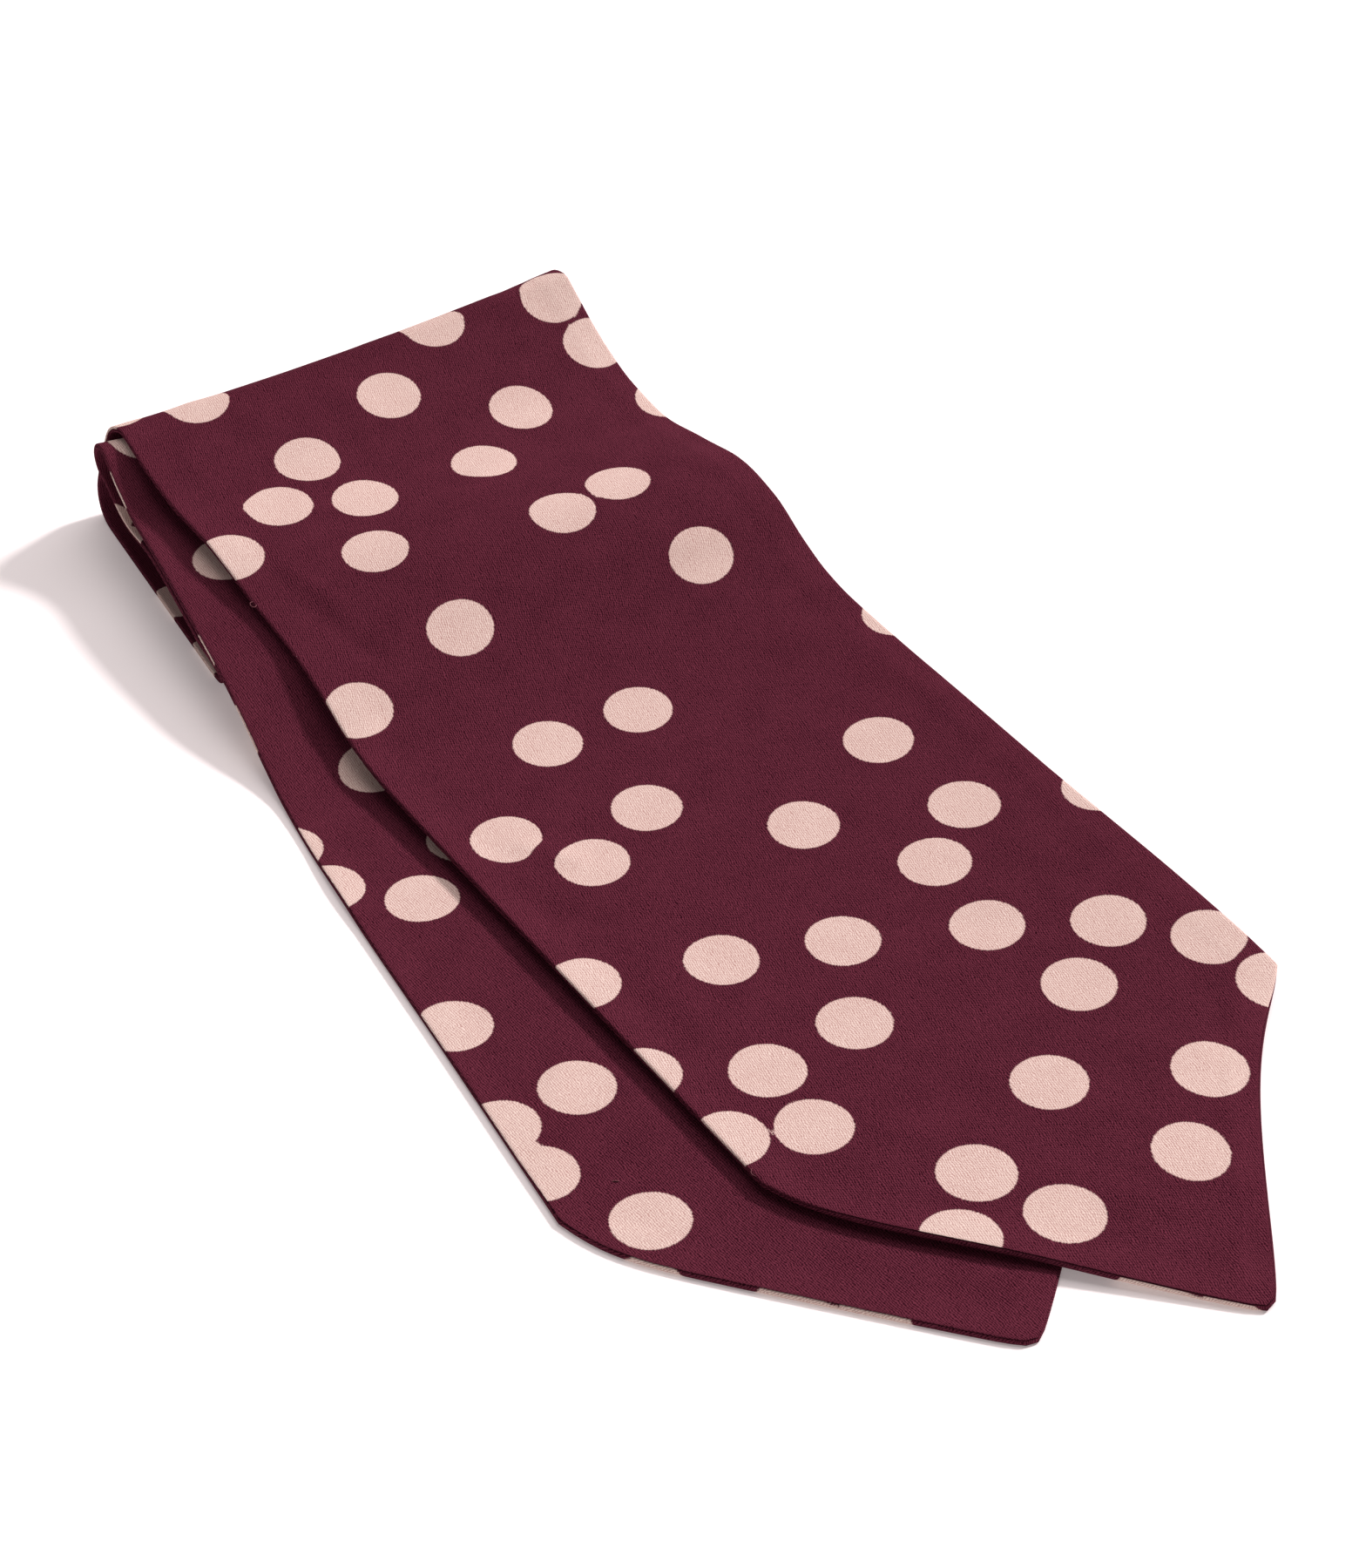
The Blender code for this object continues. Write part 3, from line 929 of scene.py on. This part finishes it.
@dataclass
class DotChart:
    """Where the dots lie: the ones that show measured in the photograph, the rest scattered."""

    top: Sequence[Dot]
    second: Sequence[Dot]
    extra: dict[Side, Sequence[Dot]]
    area_each: float = 860.0
    nearest: float = 16.2
    left_margin: float = 9.5
    right_overhang: float = 4.0
    end_margin: float = 12.0
    tries: int = 4000
    seed: int = 11
    far: float = 20.0
    oval: float = 0.012
    three_sided: float = 0.010
    corner_spread: float = 0.32

    def placed(self, cloth: ScarfCloth) -> dict[Side, list[Dot]]:
        """Every dot on the two sides, as places on the cloth.

        Args:
            cloth: The strip, which turns places in the plan into places on the cloth.

        Returns:
            The dots of each side.
        """
        found: dict[Side, list[Dot]] = {Side.FACE: [], Side.BACK: []}
        shown = ((Side.FACE, Run.TOP, self.top), (Side.BACK, Run.SECOND, self.second))
        for side, run, dots in shown:
            for dot in dots:
                length, width = cloth.locate(run, dot.length, dot.width)
                found[side].append(Dot(length, width, dot.corner, dot.turn, dot.radius))
        for side, dots in self.extra.items():
            found[side] += list(dots)
        self.scatter(cloth, found)
        return found

    def scatter(self, cloth: ScarfCloth, found: dict[Side, list[Dot]]) -> None:
        """Fill what doesn't show in the photograph with dots as close as the measured ones.

        Args:
            cloth: The strip.
            found: The dots of each side so far, to which the new ones are added.
        """
        draw = np.random.default_rng(self.seed)
        widths = cloth.share * cloth.form.width
        ends = {Side.FACE: (cloth.spans[Run.TOP][1] + 2, len(cloth.rows) - 1),
                Side.BACK: (0, cloth.spans[Run.SECOND][0] - 2)}
        middle = cloth.columns // 2
        for side, (first, last) in ends.items():
            low, high = (float(cloth.length[row, middle]) for row in (first, last))
            wanted = int((high - low) * cloth.form.width / self.area_each)
            for _ in range(self.tries):
                length = float(draw.uniform(low, high))
                width = float(draw.uniform(self.left_margin,
                                           cloth.form.width + self.right_overhang))
                from_start = length - np.interp(width, widths, cloth.length[0])
                to_end = np.interp(width, widths, cloth.length[-1]) - length
                if min(from_start, to_end) < self.end_margin:
                    continue
                gaps = (math.hypot(dot.length - length, dot.width - width) for dot in found[side])
                gap = min(gaps, default=math.inf)
                if gap > self.nearest and wanted > 0:
                    found[side].append(Dot(length, width))
                    wanted -= 1

    def field(self, cloth: ScarfCloth, place: np.ndarray, side: np.ndarray) -> np.ndarray:
        """Measure how far each place is outside the nearest dot's outline.

        Args:
            cloth: The strip.
            place: Places on the cloth, as width and length.
            side: Each place's side, as its number.

        Returns:
            The distances in millimetres, below zero inside a dot.
        """
        draw = np.random.default_rng(self.seed + 1)
        result = np.full(len(place), self.far)
        for which, dots in self.placed(cloth).items():
            picked = side == which.value
            here = place[picked]
            best = np.full(len(here), self.far)
            for dot in dots:
                oval, oval_turn, three, three_turn = draw.uniform(-1.0, 1.0, 4)
                offset = here - (dot.width, dot.length)
                angle = np.arctan2(offset[:, 1], offset[:, 0])
                shape = 1.0 + self.oval * oval * np.cos(2 * angle + 3 * oval_turn)
                shape += self.three_sided * three * np.cos(3 * angle + 3 * three_turn)
                away = np.angle(np.exp(1j * (angle - math.radians(dot.turn))))
                shape += dot.corner * np.exp(-(away / self.corner_spread) ** 2)
                best = np.minimum(best, np.hypot(*offset.T) - dot.radius * shape)
            result[picked] = best
        return result


@dataclass(frozen=True)
class ThreadEnd:
    """A loose end of sewing thread or a fibre, through places given as along, across and height."""

    name: str
    path: tuple[Triple, ...]
    radius: float
    curve_order: int = 3
    curve_steps: int = 6
    rim_steps: int = 2

    def build(self) -> bpy.types.Object:
        """Make the thread as a thin closed tube on a smooth curve.

        Returns:
            The thread's object.
        """
        bpy.ops.curve.primitive_nurbs_path_add(location=(0.0, 0.0, 0.0))
        item = bpy.context.object
        item.name = self.name
        curve = item.data
        curve.splines.clear()
        spline = curve.splines.new("NURBS")
        spline.points.add(len(self.path) - 1)
        for point, (along, across, height) in zip(spline.points, self.path):
            place = (np.array((across, along, height)) - FRAME_MIDDLE) * MM
            point.co = (*place, 1.0)
        spline.use_endpoint_u = True
        spline.order_u = self.curve_order
        spline.resolution_u = self.curve_steps
        curve.bevel_depth = self.radius * MM
        curve.bevel_resolution = self.rim_steps
        curve.use_fill_caps = True
        bpy.ops.object.convert(target="MESH")
        return bpy.context.object


class Shade:
    """One shader socket, so that node maths reads as plain expressions."""

    def __init__(self, board: "Board", socket: bpy.types.NodeSocket | None) -> None:
        """Keep the socket and the board that its node stands on."""
        self.board = board
        self.socket = socket

    def math(self, operation: str, *values: Any) -> "Shade":
        """Add a Math node for an operation on sockets and numbers."""
        return self.board.node("ShaderNodeMath", {"operation": operation}, values)

    def __add__(self, other: Any) -> "Shade":
        """Add a socket or number."""
        return self.math("ADD", self, other)

    __radd__ = __add__

    def __sub__(self, other: Any) -> "Shade":
        """Take a socket or number away."""
        return self.math("SUBTRACT", self, other)

    def __rsub__(self, other: Any) -> "Shade":
        """Take this socket away from a number."""
        return self.math("SUBTRACT", other, self)

    def __mul__(self, other: Any) -> "Shade":
        """Multiply by a socket or number."""
        return self.math("MULTIPLY", self, other)

    __rmul__ = __mul__

    def __truediv__(self, other: Any) -> "Shade":
        """Divide by a socket or number."""
        return self.math("DIVIDE", self, other)

    def sine(self) -> "Shade":
        """The sine of this value."""
        return self.math("SINE", self)

    def size(self) -> "Shade":
        """This value without its sign."""
        return self.math("ABSOLUTE", self)

    def within(self) -> "Shade":
        """This value held between 0 and 1."""
        return self.board.node("ShaderNodeClamp", {}, (self, 0.0, 1.0))


class Board:
    """A material's or world's node tree, to which nodes are added by one method."""

    mix_inputs: tuple[int, int, int] = (0, 6, 7)
    mix_result: int = 2

    def __init__(self, tree: bpy.types.NodeTree) -> None:
        """Start from an empty tree."""
        self.tree = tree
        tree.nodes.clear()

    def node(self, kind: str, settings: dict[str, Any], values: Any,
             output: int | str = 0) -> Shade:
        """Add a node.

        Args:
            kind: Its type.
            settings: Its own settings, which are set first.
            values: Values or sockets for its inputs, in order or by name.
            output: The number or name of the output to read.

        Returns:
            The output's socket, wrapped.
        """
        node = self.tree.nodes.new(kind)
        for name, value in settings.items():
            setattr(node, name, value)
        pairs = values.items() if isinstance(values, dict) else enumerate(values)
        for name, value in pairs:
            if isinstance(value, Shade):
                self.tree.links.new(value.socket, node.inputs[name])
            else:
                node.inputs[name].default_value = value
        return Shade(self, node.outputs[output] if node.outputs else None)

    def blend(self, part: Any, first: Any, second: Any) -> Shade:
        """Mix two colours by a part from 0 to 1."""
        values = dict(zip(self.mix_inputs, (part, first, second)))
        return self.node("ShaderNodeMix", {"data_type": "RGBA"}, values, self.mix_result)

    def attribute(self, name: str, output: str = "Fac") -> Shade:
        """Read one of the piece's own attributes, as its number unless another output is named."""
        return self.node("ShaderNodeAttribute", {"attribute_name": name}, (), output)

    def noise(self, place: Shade, scale: float, detail: float, roughness: float = 0.5) -> Shade:
        """Add a Noise Texture that reads places."""
        return self.node("ShaderNodeTexNoise", {}, {
            "Vector": place, "Scale": scale, "Detail": detail, "Roughness": roughness})

    def surface(self, values: dict[str, Any]) -> None:
        """Add a Principled shader and show it as the material's surface."""
        shader = self.node("ShaderNodeBsdfPrincipled", {}, values)
        self.node("ShaderNodeOutputMaterial", {}, {"Surface": shader})


def new_material(name: str) -> tuple[bpy.types.Material, Board]:
    """Make a material and the board for its nodes.

    Args:
        name: The material's name.

    Returns:
        The material and its empty board.
    """
    material = bpy.data.materials.new(name)
    material.use_nodes = True
    return material, Board(material.node_tree)


def srgb(red: int, green: int, blue: int) -> Colour:
    """Turn a colour of screen values into what the shader takes.

    Args:
        red: Its red, from 0 to 255.
        green: Its green.
        blue: Its blue.

    Returns:
        The colour, with full cover.
    """
    linear = []
    for value in (red, green, blue):
        part = value / 255.0
        linear.append(part / 12.92 if part <= 0.04045 else ((part + 0.055) / 1.055) ** 2.4)
    return (linear[0], linear[1], linear[2], 1.0)


@dataclass(frozen=True)
class DottedWeave:
    """Fine two-tone cloth: a burgundy ground with pale dots, thread by thread, painted shade in the
    seam's groove, a painted shadow ring round each dot and a hem lightened partly by painted sheen.
    """

    rib_gap: float = 0.60
    stroke_gap: float = 0.50
    rib_turn: float = -32.0
    drift_scale: float = 0.22
    stray_scale: float = 0.9
    rib_wander: tuple[float, float] = (0.9, 0.8)
    stroke_wander: tuple[float, float] = (0.6, 0.5)
    rib_share: float = 0.12
    stroke_share: float = 0.38
    slub_stretch: Triple = (2.2, 0.35, 1.0)
    patch_scale: float = 0.11
    fuzz_scale: float = 1.5
    outline_reach: float = 0.16
    # Painted shadow ring just outside each dot: its place, breadth and strength.
    dot_shadow_place: float = 0.14
    dot_shadow_reach: float = 0.2
    dot_shadow_strength: float = 0.3
    grain_tone: float = 1.2
    slub_tone: float = 0.3
    patch_tone: float = 0.3
    # How much lighter the hem is: partly its extra fabric, partly painted sheen.
    hem_and_painted_sheen_tone: float = 0.07
    tone_floor: float = 0.90
    grain_jag: float = 0.3
    fuzz_jag: float = 0.48
    ground_low: Colour = srgb(41, 6, 19)
    ground_high: Colour = srgb(109, 49, 66)
    dot_low: Colour = srgb(188, 153, 146)
    dot_high: Colour = srgb(236, 219, 209)
    # Colour of the painted shadow ring round the dots.
    rim: Colour = srgb(48, 24, 34)
    # Near-black painted shade for the seam's groove line.
    seam: Colour = srgb(16, 4, 8)
    roughness: float = 0.85
    specular: float = 0.02
    seam_shade_gain: float = 1.3
    seam_shade_strength: float = 0.9
    grain_relief: float = 0.8
    slub_relief: float = 0.5
    fuzz_relief: float = 0.4
    bump_strength: float = 0.6
    grain_depth: float = 0.00004

    def weave(self, board: Board, place: Shade) -> Shade:
        """Weave the threads, as fine ribs crossed by slanted strokes, neither quite straight.

        Args:
            board: The material's board.
            place: The places on the cloth, in millimetres.

        Returns:
            The threads' height and tone, from 0 to 1.
        """
        width = board.node("ShaderNodeSeparateXYZ", {}, (place,), "X")
        length = board.node("ShaderNodeSeparateXYZ", {}, (place,), "Y")
        cos, sin = math.cos(math.radians(self.rib_turn)), math.sin(math.radians(self.rib_turn))
        drift = board.noise(place, self.drift_scale, detail=3.0)
        stray = board.noise(place, self.stray_scale, detail=2.0)
        rib = length * cos - width * sin + drift * self.rib_wander[0] + stray * self.rib_wander[1]
        rib = rib * (2 * math.pi / self.rib_gap)
        stroke = width * cos + length * sin
        stroke = stroke + drift * self.stroke_wander[0] + stray * self.stroke_wander[1]
        stroke = stroke * (2 * math.pi / self.stroke_gap) + rib * 0.5
        return rib.sine() * self.rib_share + stroke.sine() * self.stroke_share + 0.5

    def material(self) -> bpy.types.Material:
        """Make the cloth's material from its own places and the dots' field.

        Returns:
            The material.
        """
        material, board = new_material("dotted_burgundy_cloth")
        place = board.attribute("cloth_place", "Vector")
        field = board.attribute("dot_field")
        groove = board.attribute("seam_shade")
        hem = board.attribute("hem_and_painted_sheen")
        grain = self.weave(board, place)
        stretched = board.node("ShaderNodeVectorMath", {"operation": "MULTIPLY"},
                               (place, self.slub_stretch))
        slub = board.noise(stretched, scale=1.0, detail=3.0, roughness=0.6)
        patch = board.noise(place, self.patch_scale, detail=3.0)
        fuzz = board.noise(place, self.fuzz_scale, detail=3.0, roughness=0.7)
        # The tone is lifted along the hem: partly its extra fabric, partly painted sheen.
        tone = (grain * self.grain_tone + slub * self.slub_tone + fuzz + patch * self.patch_tone
                + hem * self.hem_and_painted_sheen_tone - self.tone_floor).within()
        jag = field + (grain - 0.5) * self.grain_jag + (fuzz - 0.5) * self.fuzz_jag
        inside = (0.5 - jag / self.outline_reach).within()
        # Painted shadow: a darker ring just outside each dot's outline.
        ring = (1.0 - (jag - self.dot_shadow_place).size() / self.dot_shadow_reach).within()
        ground = board.blend(tone, self.ground_low, self.ground_high)
        ground = board.blend(ring * self.dot_shadow_strength, ground, self.rim)
        dots = board.blend(tone, self.dot_low, self.dot_high)
        colour = board.blend(inside, ground, dots)
        # Painted shade: the seam's groove line is darkened towards the seam colour.
        dark = (groove * self.seam_shade_gain).within() * self.seam_shade_strength
        colour = board.blend(dark, colour, self.seam)
        relief = grain * self.grain_relief + slub * self.slub_relief + fuzz * self.fuzz_relief
        bump = board.node("ShaderNodeBump", {}, {
            "Strength": self.bump_strength, "Distance": self.grain_depth, "Height": relief})
        board.surface({"Base Color": colour, "Roughness": self.roughness, "Normal": bump,
                       "Specular IOR Level": self.specular})
        return material


@dataclass(frozen=True)
class SewingThread:
    """Twisted thread, its colour mottled finely at random."""

    low: Colour = srgb(52, 14, 28)
    high: Colour = srgb(150, 96, 104)
    scale: float = 4200.0
    roughness: float = 0.7
    specular: float = 0.1

    def material(self) -> bpy.types.Material:
        """Make the thread's material from its place in the frame.

        Returns:
            The material.
        """
        material, board = new_material("sewing_thread")
        place = board.node("ShaderNodeTexCoord", {}, (), "Object")
        thread_mottle = board.noise(place, self.scale, detail=2.0)
        colour = board.blend(thread_mottle, self.low, self.high)
        board.surface({"Base Color": colour, "Roughness": self.roughness,
                       "Specular IOR Level": self.specular})
        return material


@dataclass(frozen=True)
class SoftBox:
    """A large square light that hangs over the scarf and faces it."""

    name: str
    place: Triple
    size: float
    power: float
    colour: Triple

    def hang(self) -> None:
        """Add the light and turn it towards the scarf."""
        bpy.ops.object.light_add(type="AREA", location=self.place)
        light = bpy.context.object
        light.name = self.name
        light.data.shape = "SQUARE"
        light.data.size = self.size
        light.data.energy = self.power
        light.data.color = self.colour
        light.rotation_euler = Vector(self.place).to_track_quat("Z", "Y").to_euler()


@dataclass(frozen=True)
class FarLight:
    """A soft light far away, so that it falls evenly over the whole floor."""

    name: str
    heading: Triple
    strength: float
    softness: float
    colour: Triple

    def hang(self) -> None:
        """Add the light and turn it from its heading towards the scarf."""
        bpy.ops.object.light_add(type="SUN", location=self.heading)
        light = bpy.context.object
        light.name = self.name
        light.data.energy = self.strength
        light.data.color = self.colour
        light.data.angle = math.radians(self.softness)
        light.rotation_euler = Vector(self.heading).to_track_quat("Z", "Y").to_euler()


@dataclass(frozen=True)
class Studio:
    """The white floor, the soft lights and the camera at the photograph's viewing angle."""

    camera_place: Triple = (-0.29165, -0.4726, 0.4348)
    camera_heading: tuple[float, float] = (0.53356, 0.84576)
    camera_pitch: float = 37.30
    camera_roll: float = -1.09
    lens: float = 78.24
    sensor: float = 36.0
    near_clip: float = 0.01
    floor_side: float = 40.0
    floor_colour: Colour = (0.93, 0.93, 0.93, 1.0)
    sky: float = 0.12
    floor_glow: float = 0.2
    sky_colour: Colour = (*WARM_WHITE, 1.0)
    lights: tuple[SoftBox | FarLight, ...] = (
        SoftBox("overhead_softbox", (1.0, 0.8, 2.4), 2.4, 40.0, WARM_WHITE),
        FarLight("key_light", (1.0, 0.02, 0.77), 3.25, 8.0, WARM_WHITE),
        FarLight("fill_light", (-0.75, -0.6, 0.36), 0.5, 60.0, WARM_WHITE),
    )

    def set_up(self) -> None:
        """Make the camera, the floor and the lights."""
        self.place_camera()
        self.lay_floor()
        self.light()

    def place_camera(self) -> None:
        """Put the camera where the photograph was taken from."""
        bpy.ops.object.camera_add(location=self.camera_place)
        camera = bpy.context.object
        camera.name = "photo_camera"
        camera.data.sensor_width = self.sensor
        camera.data.lens = self.lens
        camera.data.clip_start = self.near_clip
        pitch, roll = math.radians(self.camera_pitch), math.radians(self.camera_roll)
        ahead = Vector((self.camera_heading[0], self.camera_heading[1], 0.0)).normalized()
        look = ahead * math.cos(pitch) - Vector((0.0, 0.0, math.sin(pitch)))
        right = look.cross(Vector((0.0, 0.0, 1.0))).normalized()
        upright = right.cross(look)
        right_rolled = right * math.cos(roll) + upright * math.sin(roll)
        up_rolled = upright * math.cos(roll) - right * math.sin(roll)
        turn = Matrix((right_rolled, up_rolled, -look)).transposed()
        camera.matrix_world = Matrix.Translation(self.camera_place) @ turn.to_4x4()
        bpy.context.scene.camera = camera

    def lay_floor(self) -> None:
        """Lay a plain white floor, softly lit from below, that isn't part of the scarf."""
        bpy.ops.mesh.primitive_plane_add(size=self.floor_side)
        floor = bpy.context.object
        floor.name = "white_floor"
        material, board = new_material("white_paper")
        board.surface({"Base Color": self.floor_colour, "Roughness": 1.0, "Specular IOR Level": 0.0,
                       "Emission Color": self.sky_colour, "Emission Strength": self.floor_glow})
        floor.data.materials.append(material)

    def light(self) -> None:
        """Light the scene from an even white sky and from soft lights."""
        scene = bpy.context.scene
        scene.view_settings.view_transform = "Standard"
        world = bpy.data.worlds.new("studio_sky")
        world.use_nodes = True
        board = Board(world.node_tree)
        sky = board.node("ShaderNodeBackground", {}, {
            "Color": self.sky_colour, "Strength": self.sky})
        board.node("ShaderNodeOutputWorld", {}, {"Surface": sky})
        scene.world = world
        for light in self.lights:
            light.hang()


TOP_DOTS = tuple(Dot(*place) for place in (
    (321.5, 2.5), (306.0, 29.0), (311.5, -24.5), (291.5, 10.5), (299.5, -38.0, 0.11, 150.0),
    (292.5, -20.0), (264.5, 30.0), (261.5, 13.5), (273.0, -28.0), (244.0, -23.5),
    (288.5, -56.0), (331.0, 53.0), (317.0, 56.0), (295.0, 62.5), (336.5, 23.5), (340.5, -37.5),
    (237.0, 34.5), (206.0, -2.0), (207.0, -24.0), (177.5, -18.0), (184.5, -47.5, -0.10, -62.0),
    (168.5, -36.5, 0.07, 150.0), (168.0, 34.0), (154.5, 5.5), (140.5, 36.0), (129.5, 20.5),
    (120.5, -8.5), (129.0, -31.5), (200.0, 61.5), (137.5, -58.0), (109.0, -62.5), (108.0, 17.5),
    (95.0, 37.5), (80.0, 50.5, -0.07, -70.0), (84.0, 21.5), (99.5, -20.5), (97.5, -42.0),
    (65.5, 0.0), (52.0, 27.5), (80.0, -43.5), (85.5, -58.5), (53.5, -26.0), (37.0, 10.5),
    (36.5, -19.0), (41.5, -38.5), (64.0, 53.5), (235.0, -54.0), (128.0, 61.0),
))
SECOND_DOTS = tuple(Dot(*place) for place in (
    (115.5, -73.0), (143.5, -83.5), (114.0, -90.5), (99.5, -91.0), (78.0, -80.5), (181.0, -69.5),
    (193.0, -53.0), (210.0, -85.0), (194.0, -84.0), (224.0, -57.0), (293.5, -55.0),
    (339.5, -53.0),
))
EDGE_DOTS: dict[Side, tuple[Dot, ...]] = {
    Side.FACE: tuple(Dot(*place) for place in (
        (350.5, 3.0), (571.0, 4.5), (630.6, 5.0), (655.5, 2.4), (529.0, -5.0), (519.0, -5.0),
        (417.5, 4.0), (443.8, 2.4), (829.9, 14.1), (848.4, 30.9), (858.9, 41.4))),
    Side.BACK: tuple(Dot(*place) for place in (
        (17.5, 46.3), (8.1, 56.2), (417.5, 4.0), (443.8, 2.4))),
}
CREASES = tuple(Crease(run, line[:2], line[2:4], *line[4:]) for run, table in (
    (Run.TOP, (
        (284.0, -48.5, 260.0, -42.5, 0.60, 2.4), (268.0, -49.0, 241.0, -42.0, -0.55, 2.8, 1.0),
        (334.0, -47.0, 301.0, -49.0, 0.55, 4.5), (333.0, -38.0, 314.0, -31.0, -0.50, 5.0),
        (330.0, -10.0, 312.0, 2.0, 0.40, 6.0, 2.0), (291.0, 32.0, 254.0, 56.0, 0.60, 6.5),
        (297.0, 30.0, 263.0, -23.0, 0.60, 5.0, 3.0), (245.0, 31.0, 227.0, 4.0, -0.60, 6.0),
        (236.0, -8.0, 221.0, -34.0, 0.45, 5.0, -2.0), (216.0, 27.0, 196.0, 54.0, 0.50, 7.0),
        (192.0, 50.0, 139.0, 54.0, 0.45, 5.0, -2.0), (184.0, -48.0, 168.0, -37.0, 0.50, 2.6),
        (170.0, -58.0, 146.0, -40.0, -0.60, 3.4, 1.0), (176.0, -8.0, 160.0, 14.0, 0.30, 5.0),
        (134.0, -49.0, 108.0, -42.0, 0.40, 3.8), (120.0, 2.0, 104.0, 28.0, -0.30, 5.5, 2.0),
        (82.0, -17.0, 53.0, -8.0, -0.50, 4.6, 2.0), (75.0, -37.0, 63.0, -22.0, 0.50, 3.8),
        (70.0, 42.0, 52.0, 33.0, -0.45, 3.2), (38.0, -12.0, 26.0, 2.0, 0.45, 3.6),
        (30.0, -9.0, 17.0, 5.0, -0.50, 2.8), (16.0, 4.0, 6.0, -5.0, 0.40, 2.0),
        (20.0, 9.0, 9.0, 1.0, -0.35, 2.2))),
    (Run.SECOND, (
        (206.0, -78.0, 180.0, -86.0, 0.40, 4.0), (168.0, -62.0, 150.0, -74.0, -0.30, 4.5, 2.0),
        (130.0, -66.0, 108.0, -84.0, 0.30, 4.0), (98.0, -80.0, 84.0, -62.0, -0.30, 3.6))),
    (Run.FOLD, (
        (343.0, 18.0, 372.0, 27.0, 0.60, 4.0, 2.0), (349.0, 44.0, 388.0, 39.0, -0.55, 5.0),
        (345.0, 66.0, 366.0, 74.0, 0.45, 3.4), (352.0, 92.0, 392.0, 84.0, 0.55, 5.5, -2.0),
        (344.0, 104.0, 362.0, 99.0, -0.45, 3.0))),
) for line in table)
THREAD_ENDS = (
    ThreadEnd("edge_loop", (
        (273.9, -58.2, 16.8), (273.4, -59.0, 17.3), (272.6, -59.7, 17.5), (271.7, -59.6, 17.2),
        (271.6, -58.8, 16.9), (272.4, -58.2, 16.8)), 0.09),
    ThreadEnd("corner_fibre", (
        (76.8, -59.4, 3.9), (76.0, -60.2, 4.3), (75.2, -60.6, 4.3), (74.6, -60.0, 4.0)), 0.08),
    ThreadEnd("lint", (
        (90.4, -80.9, 1.3), (90.0, -80.4, 1.6), (89.7, -79.9, 1.35)), 0.13),
)


def report(item: bpy.types.Object) -> None:
    """Log a finished piece's name and size."""
    size = ", ".join(f"{side / MM:.1f}" for side in item.dimensions)
    LOG.info("%s: %d faces, %s mm", item.name, len(item.data.polygons), size)


def main() -> None:
    """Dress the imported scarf: the camera and studio first, then the cloth and its thread ends."""
    logging.basicConfig(level=logging.INFO, format="%(message)s")
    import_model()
    for item in bpy.context.selected_objects:
        item.select_set(False)
    Studio().set_up()
    form = FoldedForm()
    cloth = ScarfCloth(form, CREASES, DotChart(TOP_DOTS, SECOND_DOTS, EDGE_DOTS))
    item = cloth.build()
    item.data.materials.append(DottedWeave().material())
    thread = SewingThread().material()
    for end in THREAD_ENDS:
        piece = end.build()
        piece.data.materials.append(thread)
        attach(piece, "root")
        report(piece)
    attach(item, "root")
    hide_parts("top_run", "second_run", "hidden_layers")
    report(item)


if __name__ == "__main__":
    main()
